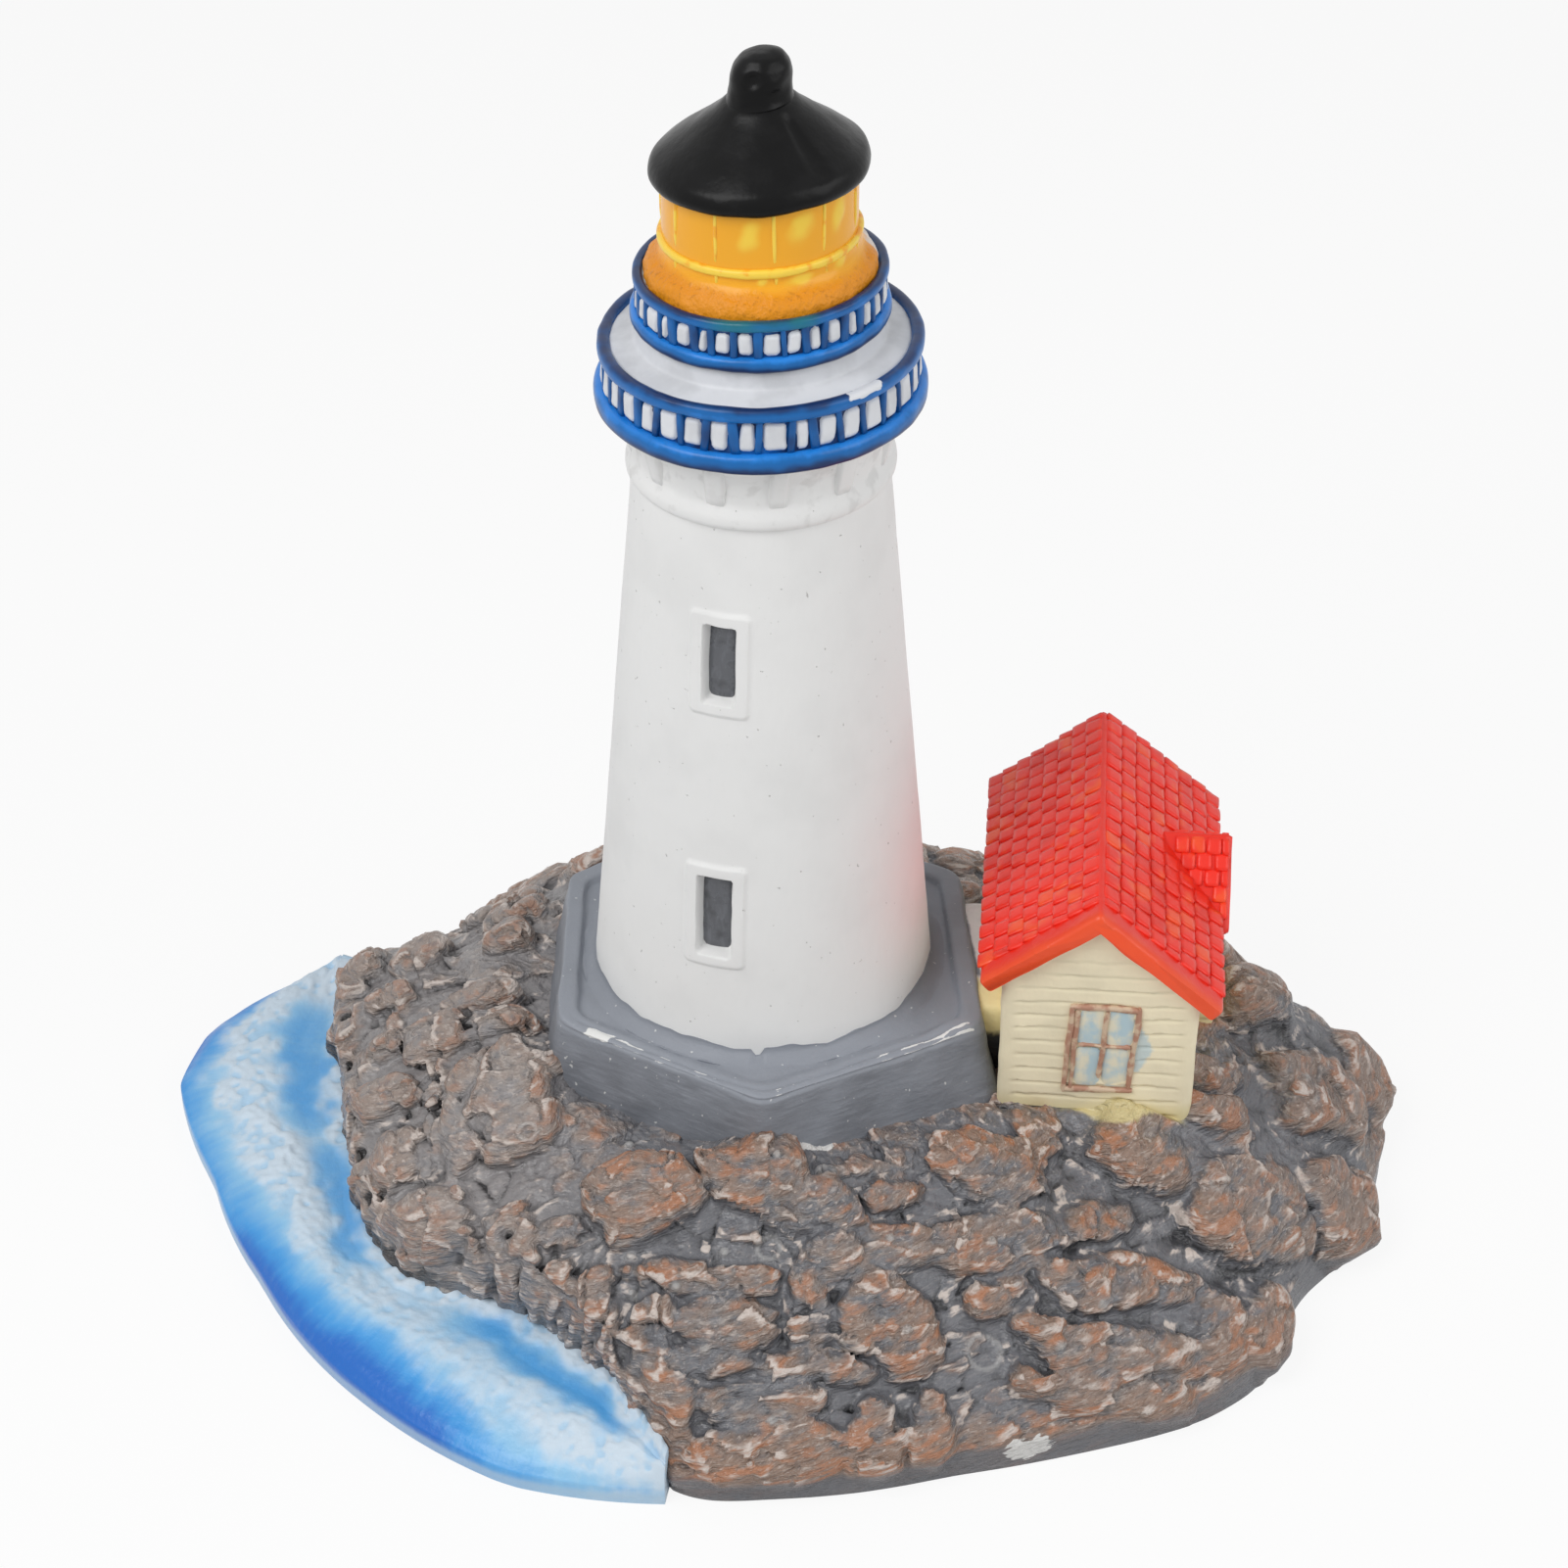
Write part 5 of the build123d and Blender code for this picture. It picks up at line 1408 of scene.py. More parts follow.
# Soft yellow dabs in the panes: bearing, height, half width and half height
DABS = [
    (-6, 97.9, 1.0, 1.5), (24, 98.2, 1.35, 1.4), (52, 98.3, 1.0, 1.7), (24, 94.0, 1.2, 0.5),
    (2, 94.2, 0.45, 0.35), (52, 94.2, 0.9, 0.6),
]
CAP = [
    (7.3, 100.1), (8.2, 99.8), (8.7, 100.05), (8.85, 100.7), (8.55, 101.6), (7.2, 102.7), (5.3, 104.0),
    (3.6, 105.3), (2.8, 106.1), (0.3, 106.3),
]
VENT = [
    (2.0, 105.0), (2.75, 105.6), (2.55, 106.3), (2.45, 107.2), (2.5, 108.1), (2.3, 109.0), (1.7, 109.75),
    (0.9, 110.05), (0.05, 110.1),
]
VENT_SHIFT = 0.03
VENT_DENT = (-14, 2.4, 108.4)
CAP_CREASE = 38


def amber_finish(look):
    """Return the lantern's amber paint, with yellow dabs in the panes and a speckled skirt."""
    paint = Finish("amber_paint")
    broad = paint.noise(3.0, 2)
    grain = paint.noise(0.38, 3)
    low = paint.step(paint.axes()[2] + 0.8 * (broad - 0.5), 93.9, 92.9)
    paint.start(look.amber, look.skirt, low)
    paint.lay(tone(look.skirt, 0.74), 0.8 * low * paint.step(grain, 0.56, 0.7))
    paint.lay(look.yellow, 0.85 * paint.field("dab"))
    paint.lay(look.bare, paint.field("bare"))
    height = low * grain + 0.15 * broad
    return paint.done(0.26 + 0.2 * low, height, 0.16, Specular_IOR_Level=0.35)


def yellow_finish(look):
    """Return the satin yellow of the lantern's bars and band."""
    paint = Finish("yellow_paint")
    broad = paint.noise(1.4, 3)
    paint.start(look.amber, look.yellow, paint.step(broad, 0.34, 0.5))
    return paint.done(0.3 + 0.15 * broad, broad, 0.06)


def black_finish(look):
    """Return the satin black paint of the cap and vent."""
    paint = Finish("black_paint")
    broad = paint.noise(2.8, 2)
    grain = paint.noise(0.5, 2)
    grey = tone(look.black, 2.0, 0.003)
    paint.start(look.black, grey, 0.5 * paint.step(broad + 0.3 * (grain - 0.5), 0.5, 0.75))
    return paint.done(0.24 + 0.14 * broad, 0.8 * broad + 0.2 * grain, 0.1, Specular_IOR_Level=0.16)


class FIGURINE_OT_lantern(bpy.types.Operator):
    """Build the lantern with its band and bars."""

    bl_idname = "figurine.lantern"
    bl_label = "Lantern"

    def execute(self, context):
        look = context.scene.figurine.lantern
        yellow = yellow_finish(look)
        bearings = ring_bearings(AROUND)
        grid = lathe(soften(LANTERN, 0.18, 2), bearings)
        skirt = ease(grid[..., 2], 93.6, 92.8)
        dabs = np.zeros_like(skirt)
        for bearing, height, half_width, half_height in DABS:
            along = np.radians(bearings - bearing)[None, :] * LANTERN_RADIUS / half_width
            away = np.hypot(along, (grid[..., 2] - height) / half_height - 0.35 * along)
            dabs = np.maximum(dabs, ease(away + 0.25 * cloud(grid, 0.9, 86), 1.15, 0.35))
        fine = 0.09 * cloud(grid, 1.2, 82) + 0.08 * cloud(grid, 0.6, 83)
        rough = 0.05 * cloud(grid, 3.0, 81) + skirt * fine
        grid = lean(raised(grid, rough + 0.06 * dabs))
        bare = between(bearings[None, :] + 7 * cloud(grid, 1.0, 87), *BARE, 3)
        bare = bare * ease(grid[..., 2], 93.8, 93.2)
        fields = {"dab": dabs, "bare": bare}
        make_piece("lantern", [tube(grid)], amber_finish(look), ["lantern_room"], fields)
        band = rail_grid(LANTERN_RADIUS - 0.4, LANTERN_RADIUS + 0.36, *BAND, 0.05, 84)
        make_piece("lantern_band_rail", [ring_shell(band)], yellow, ["lantern_band"])
        rng = np.random.default_rng(85)
        places = []
        for number in range(BARS):
            bearing = BAR_FIRST + number * 360 / BARS + rng.uniform(-1, 1)
            tilt = radians(rng.uniform(-2, 2))
            upper = at_bearing(bearing, LANTERN_RADIUS - 0.2, BAR_LEVELS[0])
            stretch = (rng.uniform(0.8, 1.1), 1, 1.0)
            places.append((upper, (0, tilt, radians(bearing)), stretch, rng.uniform()))
            lower = at_bearing(bearing + 1, LANTERN_RADIUS - 0.08, BAR_LEVELS[1])
            places.append((lower, (0, tilt, radians(bearing + 1)), (0.9, 1, 0.3), rng.uniform()))
        nodes = ["lantern_bars"]
        make_blocks("lantern_glazing", places, BAR_SIZE, yellow, nodes, 0, 0.1, 5, True)
        return {"FINISHED"}


class FIGURINE_OT_cap(bpy.types.Operator):
    """Build the black cap and its round-topped vent."""

    bl_idname = "figurine.cap"
    bl_label = "Cap"

    def execute(self, context):
        black = black_finish(context.scene.figurine.lantern)
        bearings = ring_bearings(260)
        grid = lathe(soften(CAP, 0.2, 3), bearings)
        crease = ease(np.abs(bearings - CAP_CREASE), 9, 1)[None, :] * between(grid[..., 2], 102.0, 105.4, 0.5)
        rough = 0.1 * cloud(grid, 4, 91) + 0.04 * cloud(grid, 1.6, 92) - 0.14 * crease
        grid = lean(raised(grid, rough))
        make_piece("cap", [tube(grid)], black, ["lantern_cap"])
        grid = lathe(soften(VENT, 0.14, 3), ring_bearings(120))
        rough = 0.2 * cloud(grid, 2.6, 93) + 0.06 * cloud(grid, 1.1, 94)
        dent = ease(np.linalg.norm(grid - at_bearing(*VENT_DENT), axis=-1), 0.9, 0.2)
        grid = raised(grid, rough - 0.3 * dent)
        grid[..., 0] += VENT_SHIFT * (grid[..., 2] - VENT[0][1])
        make_piece("vent", [tube(lean(grid))], black, ["cap_vent"])
        return {"FINISHED"}


# Cottage
LEFT_EAVE = 14.7
RIGHT_EAVE = 12.9
APEX = 21.1
RIDGE = 8.1
WALL_FOOT = -2.6
BOARD_PITCH = 1.55
CORNER_BOARD = 1.3
WING_EAVE = 11.6
WING_APEX = 16.3
WING_MIDDLE = 18.3
# How far each slope falls for a millimetre across
LEFT_FALL = (APEX - LEFT_EAVE) / RIDGE
RIGHT_FALL = (APEX - RIGHT_EAVE) / (COTTAGE_WIDTH - RIDGE)
WING_FALL = (WING_APEX - WING_EAVE) / (WING_BACK - WING_MIDDLE)
ROOF_THICKNESS = 1.25
ROOF_OVERHANG = 1.4
ROOF_FRONT = -0.9
ROOF_BACK = 31.2
LOFT = 8.0
RIDGE_LIFT = 0.75
WING_TILES = 6
WING_COURSES = 6
WING_START = COTTAGE_WIDTH / 2 + 2.5
# Turns of the cottage and of the tiles on its cross gable
COTTAGE_YAW = Matrix.Rotation(COTTAGE_TURN, 3, "Z")
CROSSED = Matrix(((0, 1, 0), (1, 0, 0), (0, 0, 1)))
MIRRORED = Matrix.Diagonal((-1, 1, 1))
# Gap between tiles, their thickness and how far a course laps the next
TILE_GAP = 0.13
TILE_THICKNESS = 0.36
TILE_LAP = 1.14
# Strokes of the window's frame on the front wall: start, end and width
STROKES = [
    ((5.75, 2.2), (6.15, 11.9), 0.55), ((6.4, 2.6), (6.7, 11.7), 0.45), ((6.0, 12.0), (12.1, 11.8), 0.55),
    ((11.5, 2.9), (12.1, 12.1), 0.55), ((5.6, 2.4), (11.9, 2.65), 0.6), ((9.3, 11.6), (8.85, 4.0), 0.45),
    ((7.0, 7.7), (11.5, 7.6), 0.34), ((6.9, 7.7), (7.7, 7.7), 0.55), ((10.8, 7.6), (11.5, 7.6), 0.55),
]
STROKE_DEPTH = 0.26
PANE_SIZE = (2.4, 4.4)
# Loops of a pane from its back to its middle: inset and depth
PANE_LOOPS = [(0, 0.5), (0, -0.05), (0.2, -0.13), (0.7, -0.16), (1.2, -0.15)]
PANE_CENTRES = [(7.75, 5.1), (7.95, 9.6), (10.3, 5.1), (10.5, 9.6)]


def wall_top(across, back):
    """Return the height of the cottage's wall under the roof."""
    main = np.minimum(LEFT_EAVE + LEFT_FALL * across, RIGHT_EAVE + RIGHT_FALL * (COTTAGE_WIDTH - across))
    wing = WING_APEX - WING_FALL * np.abs(back - WING_MIDDLE)
    return np.where(across > COTTAGE_WIDTH + 0.01, wing, main)


def wall_outline():
    """Return the cottage's outline in plan, with each point's outward direction and its corner boards."""
    corners = [
        (0, 0), (COTTAGE_WIDTH, 0), (COTTAGE_WIDTH, WING_FRONT), (WING_OUT, WING_FRONT),
        (WING_OUT, WING_BACK), (COTTAGE_WIDTH, WING_BACK), (COTTAGE_WIDTH, COTTAGE_LENGTH),
        (0, COTTAGE_LENGTH),
    ]
    points = []
    outs = []
    boards = []
    for start, end in zip(corners, corners[1:] + corners[:1]):
        start = np.array(start, float)
        run = np.array(end) - start
        size = np.linalg.norm(run)
        steps = max(3, int(size / 0.3))
        for step in range(steps):
            travel = size * (step + 0.5) / steps
            points.append(start + run * travel / size)
            outs.append((run[1] / size, -run[0] / size))
            board = min(travel, size - travel)
            boards.append(board if size > 5 else 9.0)
    return np.array(points), np.array(outs), np.array(boards)


def shape_walls():
    """Return the cottage's walls with their clapboards and corner boards, and what the paint needs."""
    plan, outs, boards = wall_outline()
    levels = np.arange(WALL_FOOT, APEX + 0.01, 0.16)
    top = wall_top(plan[:, 0], plan[:, 1])[None, :]
    height = np.minimum(levels[:, None], top)
    grid = np.zeros((len(levels), len(plan), 3))
    grid[..., :2] = plan
    grid[..., 2] = height
    wave = 0.16 * cloud(grid, 4.0, 101) + 0.08 * cloud(grid, 1.2, 102)
    part = (height + wave) / BOARD_PITCH
    part = part - np.floor(part)
    board = 0.12 * (1 - part) - 0.15 * ease(part, 0.7, 0.92) + 0.15 * ease(part, 0.92, 1.0)
    board = board * (1 - 0.5 * ease(height, 10, 17)) * (0.7 + 0.5 * cloud(grid, 3.0, 104))
    plain = ease(boards, CORNER_BOARD + 0.2, CORNER_BOARD - 0.2)[None, :] * (height < top)
    plain = np.maximum(plain, ease(top - height, 1.2, 0.7))
    push = board * (1 - plain) + 0.1 * plain + 0.06 * cloud(grid, 1.8, 103)
    push = push - 0.16 * ease(boards, 0.5, 0.0)[None, :]
    # The wing's gable stands clear of the main eave
    push = push + 0.35 * (plan[:, 0] > COTTAGE_WIDTH + 0.01) * outs[:, 0]
    grid[..., 0] += outs[:, 0] * push
    grid[..., 1] += outs[:, 1] * push
    # The walls close over a flat loft, under the roof
    loft = grid[-1:].copy()
    loft[..., 0] = np.clip(plan[:, 0], 1.2, COTTAGE_WIDTH - 1.2)
    loft[..., 1] = np.clip(plan[:, 1], 1.2, COTTAGE_LENGTH - 1.2)
    loft[..., 2] = LOFT
    grid = np.concatenate([grid, loft])
    groove = np.concatenate([board * (1 - plain), 0 * loft[..., 2]])
    fields = {"across": grid[..., 0], "back": grid[..., 1], "rise": grid[..., 2], "groove": groove}
    return from_cottage(grid), fields


def cream_finish(look):
    """Return the matt cream of the walls, darker in the grooves, with blue run beside the window."""
    paint = Finish("cream_paint")
    broad = paint.noise(4.0, 3)
    grain = paint.noise(0.5, 3)
    dark = tone(look.cream, 0.72)
    rise = paint.field("rise")
    across = paint.field("across")
    paint.start(look.cream, dark, 0.3 * paint.step(broad, 0.45, 0.75))
    paint.lay(look.sand, 0.8 * paint.step(rise + 2.0 * (broad - 0.5), 2.2, -0.4))
    paint.lay(dark, 0.25 * paint.step(paint.field("groove"), 0.0, -0.1))
    tip = paint.maths("ABSOLUTE", rise - 7.3, 0.0)
    smear = paint.step(across + 0.45 * tip + 0.8 * (grain - 0.5), 13.7, 13.3) * paint.step(across, 11.7, 12.0)
    smear = smear * paint.step(tip, 2.8, 2.4) * paint.step(paint.field("back"), 1.0, 0.5)
    paint.lay(look.blue, 0.75 * smear)
    return paint.done(0.46 + 0.15 * broad, 0.5 * broad + 0.4 * grain, 0.08)


def slope_frame(foot, head):
    """Return the along, outward and upward directions of a roof slope in the cottage's frame."""
    up = Vector((head[0] - foot[0], 0, head[1] - foot[1])).normalized()
    along = Vector((0, 1, 0)) if up.x > 0 else Vector((0, -1, 0))
    return along, up.cross(along), up


def roof_tips():
    """Return the left tip, the apex and the right tip of the main roof's underside."""
    left = (-ROOF_OVERHANG, LEFT_EAVE - ROOF_OVERHANG * LEFT_FALL)
    right = (COTTAGE_WIDTH + ROOF_OVERHANG, RIGHT_EAVE - ROOF_OVERHANG * RIGHT_FALL)
    return left, (RIDGE, APEX), right


def wing_tips():
    """Return the front tip, the apex and the back tip of the cross gable's underside."""
    tip = WING_EAVE - WING_FALL
    return (WING_FRONT - 1.0, tip), (WING_MIDDLE, WING_APEX), (WING_BACK + 1.0, tip)


def roof_loop(left, apex, right, thick):
    """Return the soft-cornered section of a roof, anticlockwise seen along the ridge."""
    falls = [(apex[1] - left[1]) / (apex[0] - left[0]), (apex[1] - right[1]) / (right[0] - apex[0])]
    lifts = []
    for sign, fall in zip((-1, 1), falls):
        size = hypot(1, fall)
        lifts.append((sign * fall / size * thick, thick / size))
    ridge = (apex[0], apex[1] + thick * hypot(1, sum(falls) / 2))
    corners = [
        apex, left, (left[0] + lifts[0][0], left[1] + lifts[0][1]), ridge,
        (right[0] + lifts[1][0], right[1] + lifts[1][1]), right, apex,
    ]
    return soften(corners, 0.3, 1)[:-1]


def roof_shell(loop, stations, place, seed):
    """Return the shell of a roof: a section carried along stations, with lumps and rounded verges."""
    rows = []
    away = loop - loop.mean(axis=0)
    away = away / np.linalg.norm(away, axis=1, keepdims=True)
    for station in stations:
        edge = min(station - stations[0], stations[-1] - station)
        line = loop - away * 0.3 * float(ease(edge, 0.5, 0.0))
        rows.append(place(line[:, 0], station, line[:, 1]))
    grid = np.array(rows)
    return tube(grid + 0.07 * jostle(grid, 2.0, seed))


def slant(across, along):
    """Return a place along the ridge, shifted because the back verge slants."""
    return along + 1.2 * ease(along, ROOF_BACK - 8, ROOF_BACK) * (across / COTTAGE_WIDTH - 1)


def on_main(across, along, height):
    """Return points of the main roof in the figurine's frame."""
    return from_cottage(np.stack([across, slant(across, along), height], axis=-1))


def on_wing(across, along, height):
    """Return points of the cross gable, whose ridge lies across the main one, in the figurine's frame."""
    return from_cottage(np.stack([along + 0 * across, across, height], axis=-1))


def main_surface(across):
    """Return the height of the main roof's right slope."""
    return APEX - RIGHT_FALL * (across - RIDGE) + ROOF_THICKNESS * hypot(1, RIGHT_FALL)


def wing_surface(back):
    """Return the height of the cross gable's slopes."""
    return WING_APEX - WING_FALL * abs(back - WING_MIDDLE) + ROOF_THICKNESS * hypot(1, WING_FALL)


def beside_wing(point):
    """Tell whether a tile of the main roof lies clear of the cross gable."""
    hidden = WING_FRONT - 1 < point.y < WING_BACK + 1 and wing_surface(point.y) > point.z - 0.15
    return point.x < RIDGE or not hidden


def above_main(point):
    """Tell whether a tile of the cross gable lies clear of the main roof."""
    return point.z > main_surface(point.y) + 0.1


def roof_tiles(foot, head, ends, courses, tiles, place, rng, keep, fit=(1, 1)):
    """Return the places of the tiles on one slope, courses set off by half a tile; fit scales them."""
    along, out, up = slope_frame(foot, head)
    size = hypot(head[0] - foot[0], head[1] - foot[1]) + RIDGE_LIFT
    pitch = (ends[1] - ends[0]) / tiles
    places = []
    for course in range(courses):
        climb = size * (course + 0.5) / courses
        odd = course % 2
        for tile in range(tiles + odd):
            run = ends[0] + pitch * (tile + 0.5 - 0.5 * odd) + rng.uniform(-0.1, 0.1)
            half = odd and tile in (0, tiles)
            if half:
                run = ends[0] + 0.25 * pitch if tile == 0 else ends[1] - 0.25 * pitch
            base = Vector((foot[0], 0, foot[1])) + up * (climb + rng.uniform(-0.05, 0.05))
            base += out * (ROOF_THICKNESS + 0.04 + rng.uniform(-0.03, 0.03))
            point = Vector((base.x, run, base.z))
            tip = Matrix.Rotation(radians(6 + rng.uniform(-2, 2)), 3, "X")
            roll = Matrix.Rotation(radians(rng.uniform(-2.5, 2.5)), 3, "Y")
            turn = Matrix((along, out, up)).transposed() @ tip @ roll
            stretch = (0.48 if half else rng.uniform(0.94, 1.03), 1, rng.uniform(0.96, 1.04))
            stretch = (stretch[0] * fit[0], 1, stretch[2] * fit[1])
            shade = rng.uniform()
            if place is on_wing:
                turn = CROSSED @ turn @ MIRRORED
            if keep(point):
                places.append((place(*point), tuple((COTTAGE_YAW @ turn).to_euler()), stretch, shade))
    return places


def red_finish(name, look, depth):
    """Return the glossy red of the roof, orange where the paint is thin; depth darkens it, as painted shade
    for the slab seen in the gaps between the tiles.
    """
    paint = Finish(name)
    broad = paint.noise(3.0, 3)
    grain = paint.noise(0.4, 2)
    shade = paint.field("shade")
    worn = 0.6 * paint.step(broad + 0.3 * (shade - 0.5), 0.5, 0.8)
    paint.start(tone(look.red, depth), tone(look.red, 0.72 * depth), worn)
    thin = paint.step(broad - 0.2 * (shade - 0.5), 0.46, 0.3)
    x, y, _ = paint.axes()
    front = y * cos(COTTAGE_TURN) - (x - COTTAGE_CORNER[0]) * sin(COTTAGE_TURN)
    verge = paint.step(front - COTTAGE_CORNER[1] + 1.2 * (broad - 0.5), ROOF_FRONT + 1.6, ROOF_FRONT - 0.1)
    paint.lay(look.orange, paint.maths("MAXIMUM", 0.5 * thin, 0.5 * verge))
    return paint.done(0.24 + 0.16 * broad, 0.6 * broad + 0.3 * grain, 0.1, Specular_IOR_Level=0.4)


def brush_bar(start, end, width, depth, seed):
    """Return the shell of one brushed bar of the window, on the front wall."""
    start = np.array(start, float)
    run = np.array(end, float) - start
    size = np.linalg.norm(run)
    along = run / size
    side = np.array([-along[1], along[0]])
    loop = rounded_loop(1, 1, 12, 3)
    rows = []
    for travel in np.linspace(0, size, max(8, int(size / 0.25))):
        middle = start + along * travel
        sway = np.array([middle[0], middle[1], seed * 7.0])
        wide = width / 2 * (1 + 0.3 * float(cloud(sway, 1.1, seed)))
        end_round = float(ease(min(travel, size - travel), -0.1, 0.35))
        wide = wide * (0.35 + 0.65 * end_round)
        middle = middle + side * 0.1 * float(cloud(sway, 2.4, seed + 1))
        across = middle[None, :] + side[None, :] * loop[:, :1] * wide
        rows.append(np.stack([across[:, 0], -depth * loop[:, 1] - 0.1, across[:, 1]], axis=-1))
    return tube(from_cottage(np.array(rows)))


def brown_finish(look):
    """Return the window frame's brown, brushed thin so that the cream shows through."""
    paint = Finish("brown_paint")
    broad = paint.noise(1.0, 3)
    light = paint.mix(look.brown, look.cream, 0.45)
    paint.start(look.brown, light, paint.step(broad, 0.42, 0.62))
    return paint.done(0.45, broad, 0.06)


def glass_finish(look):
    """Return the window panes' pale blue, streaked with cream."""
    paint = Finish("glass_paint")
    broad = paint.noise(1.8, 3)
    streak = paint.noise(0.7, 3, (1.0, 1.0, 0.3))
    cover = paint.step(broad + 0.4 * (streak - 0.5), 0.36, 0.68)
    paint.start(look.blue, look.cream, 0.8 * cover)
    return paint.done(0.35 + 0.1 * broad, streak, 0.05)


class FIGURINE_OT_cottage(bpy.types.Operator):
    """Build the cottage's clapboard walls and its window."""

    bl_idname = "figurine.cottage"
    bl_label = "Cottage"

    def execute(self, context):
        look = context.scene.figurine.cottage
        grid, fields = shape_walls()
        make_piece("walls", [tube(grid)], cream_finish(look), ["cottage_walls"], fields, 50)
        shells = [brush_bar(*stroke, STROKE_DEPTH, 111 + number) for number, stroke in enumerate(STROKES)]
        make_piece("window_frame", shells, brown_finish(look), ["cottage_window_frame"])
        panes = []
        for centre in PANE_CENTRES:
            loops = []
            for inset, depth in PANE_LOOPS:
                loop = rounded_loop(PANE_SIZE[0] / 2 - inset, PANE_SIZE[1] / 2 - inset, 28) + np.array(centre)
                loops.append(np.stack([loop[:, 0], depth + 0 * loop[:, 0], loop[:, 1]], axis=-1))
            panes.append(tube(from_cottage(np.array(loops))))
        make_piece("window_panes", panes, glass_finish(look), ["cottage_window_panes"])
        return {"FINISHED"}


class FIGURINE_OT_roof(bpy.types.Operator):
    """Build the roof with its staggered tiles and the cross gable."""

    bl_idname = "figurine.roof"
    bl_label = "Roof"

    def execute(self, context):
        look = context.scene.figurine.cottage
        left, apex, right = roof_tips()
        front, peak, back = wing_tips()
        stations = np.linspace(ROOF_FRONT, ROOF_BACK, 90)
        shell = roof_shell(roof_loop(left, apex, right, ROOF_THICKNESS), stations, on_main, 121)
        stations = np.linspace(WING_START, WING_OUT + 1.0, 36)
        wing = roof_shell(roof_loop(front, peak, back, ROOF_THICKNESS), stations, on_wing, 125)
        # The slab is painted darker red, as the shade in the gaps between the tiles
        slab = red_finish("roof_paint", look, 0.9)
        make_piece("roof_slab", [shell, wing], slab, ["cottage_roof"])
        rng = np.random.default_rng(127)
        ends = (ROOF_FRONT + 2.1, ROOF_BACK - 0.3)
        pitch = (ends[1] - ends[0]) / look.tiles
        rise = hypot(apex[0] - left[0], apex[1] - left[1]) / look.courses
        places = []
        for tip in (left, right):
            places += roof_tiles(tip, apex, ends, look.courses, look.tiles, on_main, rng, beside_wing)
        out = (WING_START, WING_OUT + 0.8)
        size = hypot(peak[0] - front[0], peak[1] - front[1])
        fit = ((out[1] - out[0]) / WING_TILES / pitch, (size + RIDGE_LIFT) / WING_COURSES / rise)
        for tip in (front, back):
            places += roof_tiles(tip, peak, out, WING_COURSES, WING_TILES, on_wing, rng, above_main, fit)
        red = red_finish("roof_tile_paint", look, 1.0)
        tile = (pitch - TILE_GAP, TILE_THICKNESS, rise * TILE_LAP)
        make_blocks("roof_tiles", places, tile, red, [], 0, 0.12, 7, False, 0.85)
        return {"FINISHED"}


# The link lies a little under its CAD top, and below the paint line its front is painted near-black as a
# painted shadow
LINK_DROP = 1.6
LINK_PAINT = 18.4
LINK_SHADE = (0.03, 0.03, 0.034)


def link_finish(white, sand, grey):
    """Return the passage's white paint, brightened as painted light, run over with cream at its front end and
    grey beside the terrace, with a painted shadow low on its front.
    """
    paint = Finish("link_paint")
    broad = paint.noise(2.0, 3)
    grain = paint.noise(0.5, 2)
    # Painted light: the white is brightened so that it stays white in the shade of the roof's eave
    white = tone(white, 1.12)
    paint.start(white, tone(white, 0.95), paint.step(broad, 0.42, 0.7))
    x, y, z = paint.axes()
    paint.lay(tone(sand, 1.3), paint.step(y + 2.5 * (broad - 0.5), -4.2, -5.4))
    beside = x + 0.115 * y + 0.6 * (broad - 0.5)
    paint.lay(grey, paint.step(beside, 19.5, 19.2) * paint.step(y, -4.6, -3.8))
    # Painted shadow: the front end is near-black below the paint line
    shaded = paint.step(z + 2.0 * (broad - 0.5), LINK_PAINT + 0.4, LINK_PAINT - 0.4)
    paint.lay(LINK_SHADE, shaded * paint.step(y, 3.0, 0.0))
    return paint.done(0.5 + 0.1 * broad, 0.5 * broad + 0.5 * grain, 0.15)


class FIGURINE_OT_link(bpy.types.Operator):
    """Build the low passage between the terrace and the cottage."""

    bl_idname = "figurine.link"
    bl_label = "Link"

    def execute(self, context):
        low, high = span("link_passage")
        middle = (low + high) / 2
        half = (high - low) / 2
        loops = []
        top = high[2] - LINK_DROP
        for inset, height in ((0, low[2]), (0, top - 0.8), (0.15, top - 0.25), (0.5, top), (1.0, top + 0.05)):
            flat = middle[:2] + rounded_loop(max(half[0] - inset, 0.2), half[1] - inset, 96, 8)
            loops.append(np.column_stack([flat, np.full(len(flat), height)]))
        grid = np.array(loops)
        grid = grid + 0.12 * jostle(grid, 1.8, 131)
        look = context.scene.figurine
        paint = link_finish(look.tower.white, look.cottage.sand, look.terrace.grey)
        make_piece("link", [tube(grid)], paint, ["link_passage"])
        return {"FINISHED"}


# Stage
CAMERA_TARGET = (1.904, 0.0, 40.0)
CAMERA_PLACE = (1.904, -253.26, 224.0)
KEY_PLACE = (-190, -170, 330)
FILL_PLACE = (260, -120, 220)
LAMP_SIZE = 260
LAMP_TARGET = (0, 0, 40)
# Half the floor's width, in metres
FLOOR_HALF = 6.0


def aim(thing, target):
    """Turn a lamp or the camera towards a point."""
    thing.rotation_euler = (Vector(target) - thing.location).to_track_quat("-Z", "Y").to_euler()


def area_lamp(name, place, power):
    """Add a large soft lamp, placed in millimetres."""
    data = bpy.data.lights.new(name, "AREA")
    data.shape = "DISK"
    data.size = LAMP_SIZE * MM
    data.energy = power
    lamp = bpy.data.objects.new(name, data)
    lamp.location = Vector(place) * MM
    aim(lamp, Vector(LAMP_TARGET) * MM)
    bpy.context.scene.collection.objects.link(lamp)


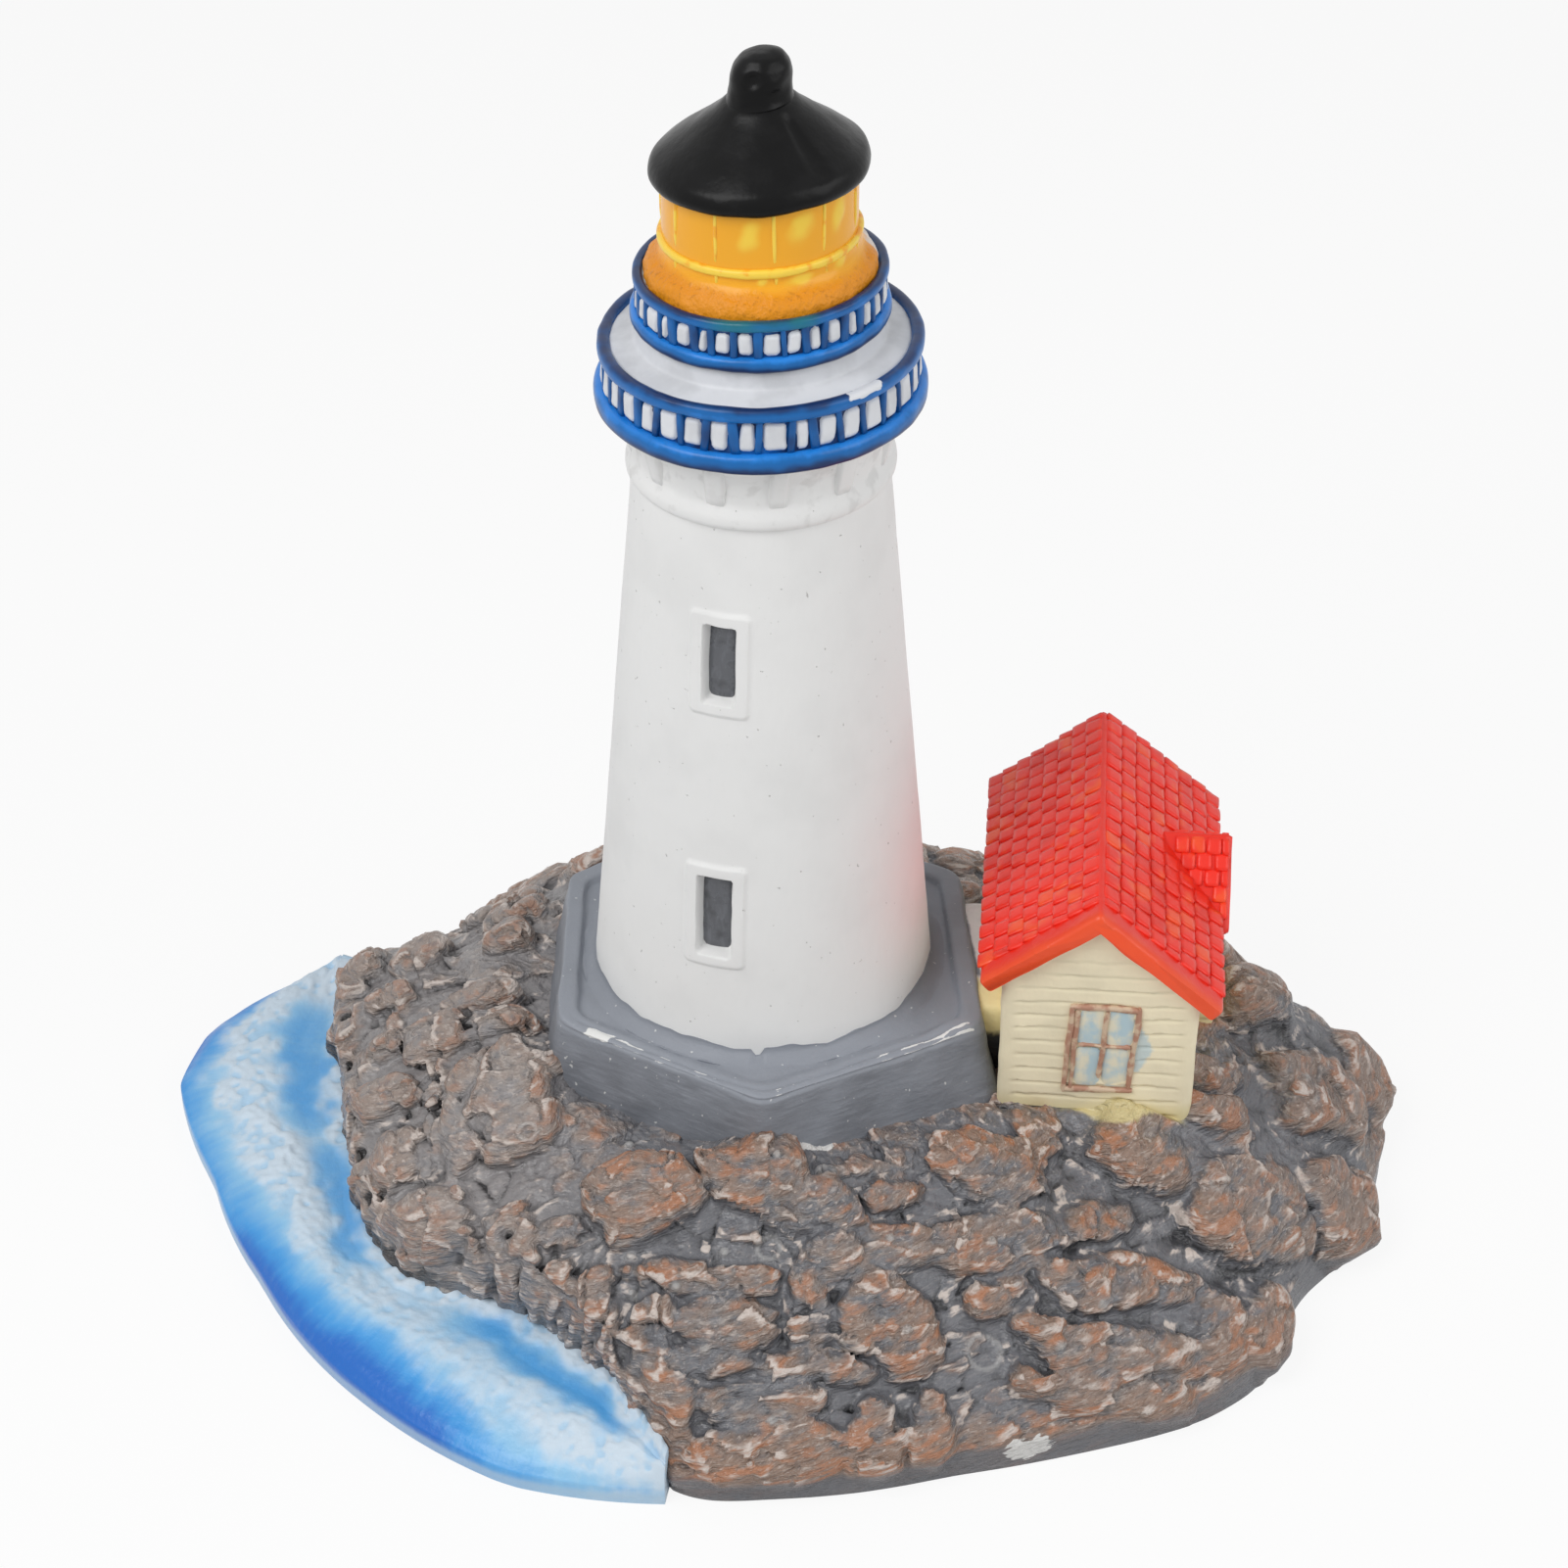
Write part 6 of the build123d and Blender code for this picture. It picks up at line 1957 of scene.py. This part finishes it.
def add_camera(scene, lens):
    """Add the camera."""
    data = bpy.data.cameras.new("camera")
    data.lens = lens
    data.sensor_width = 36
    data.clip_start = 0.01
    camera = bpy.data.objects.new("camera", data)
    camera.location = Vector(CAMERA_PLACE) * MM
    aim(camera, Vector(CAMERA_TARGET) * MM)
    scene.collection.objects.link(camera)
    scene.camera = camera


def empty_bench(owner):
    """Return the emptied node tree of a world or a material."""
    owner.use_nodes = True
    owner.node_tree.nodes.clear()
    return Bench(owner.node_tree)


def background_rays(bench):
    """Return 1 for rays that should see the plain background."""
    kinds = ("Is Camera Ray", "Is Glossy Ray", "Is Transmission Ray")
    seen, glossy, through = (bench.node("ShaderNodeLightPath", {}, {}, kind) for kind in kinds)
    return bench.maths("MAXIMUM", bench.maths("MAXIMUM", seen, glossy), through)


def add_sky(scene, look):
    """Add the pale surroundings."""
    scene.world = bpy.data.worlds.new("surroundings")
    bench = empty_bench(scene.world)
    strength = look.ambient + (1 - look.ambient) * background_rays(bench)
    sky = bench.node("ShaderNodeBackground", {}, {"Color": look.floor, "Strength": strength})
    bench.node("ShaderNodeOutputWorld", {}, {"Surface": sky})


def add_floor(scene, look):
    """Add the floor, which the camera sees as plain white."""
    material = bpy.data.materials.new("floor_paint")
    bench = empty_bench(material)
    matt = bench.node("ShaderNodeBsdfDiffuse", {}, {"Color": tone(look.floor, 0.9)})
    glow = bench.node("ShaderNodeEmission", {}, {"Color": look.floor, "Strength": 1.0})
    cover = 0.88 * background_rays(bench)
    mixed = bench.node("ShaderNodeMixShader", {}, {0: cover, 1: matt, 2: glow})
    bench.node("ShaderNodeOutputMaterial", {}, {"Surface": mixed})
    mesh = bpy.data.meshes.new("floor")
    corners = [(x * FLOOR_HALF, y * FLOOR_HALF, 0) for x, y in ((-1, -1), (1, -1), (1, 1), (-1, 1))]
    mesh.from_pydata(corners, [], [(0, 1, 2, 3)])
    mesh.materials.append(material)
    floor = bpy.data.objects.new("floor", mesh)
    scene.collection.objects.link(floor)


class FIGURINE_OT_stage(bpy.types.Operator):
    """Set the camera, the lamps, the floor and the pale surroundings."""

    bl_idname = "figurine.stage"
    bl_label = "Stage"

    def execute(self, context):
        look = context.scene.figurine.stage
        scene = context.scene
        scene.view_settings.view_transform = "Standard"
        add_camera(scene, look.lens)
        area_lamp("key", KEY_PLACE, look.key)
        area_lamp("fill", FILL_PLACE, look.fill)
        add_sky(scene, look)
        add_floor(scene, look)
        return {"FINISHED"}


class FIGURINE_PT_panel(bpy.types.Panel):
    """List the steps that build the figurine."""

    bl_idname = "FIGURINE_PT_panel"
    bl_label = "Lighthouse"
    bl_space_type = "VIEW_3D"
    bl_region_type = "UI"
    bl_category = "Lighthouse"

    def draw(self, context):
        for step in STEPS:
            self.layout.operator(step.bl_idname)


STEPS = (
    FIGURINE_OT_rock, FIGURINE_OT_sea, FIGURINE_OT_terrace, FIGURINE_OT_tower, FIGURINE_OT_collar,
    FIGURINE_OT_galleries, FIGURINE_OT_lantern, FIGURINE_OT_cap, FIGURINE_OT_cottage, FIGURINE_OT_roof,
    FIGURINE_OT_link, FIGURINE_OT_stage,
)
CLASSES = (
    RockLook, SeaLook, TerraceLook, TowerLook, GalleryLook, LanternLook, CottageLook, StageLook, FigurineLook,
    *STEPS, FIGURINE_PT_panel,
)


def register():
    """Register the classes and the figurine's properties."""
    for kind in CLASSES:
        bpy.utils.register_class(kind)
    bpy.types.Scene.figurine = PointerProperty(type=FigurineLook)


def unregister():
    """Remove the figurine's properties and the classes."""
    del bpy.types.Scene.figurine
    for kind in reversed(CLASSES):
        bpy.utils.unregister_class(kind)


def main():
    """Build every piece and the stage."""
    register()
    for step in STEPS:
        getattr(bpy.ops.figurine, step.bl_idname.split(".")[1])()
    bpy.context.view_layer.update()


if __name__ == "__main__":
    main()
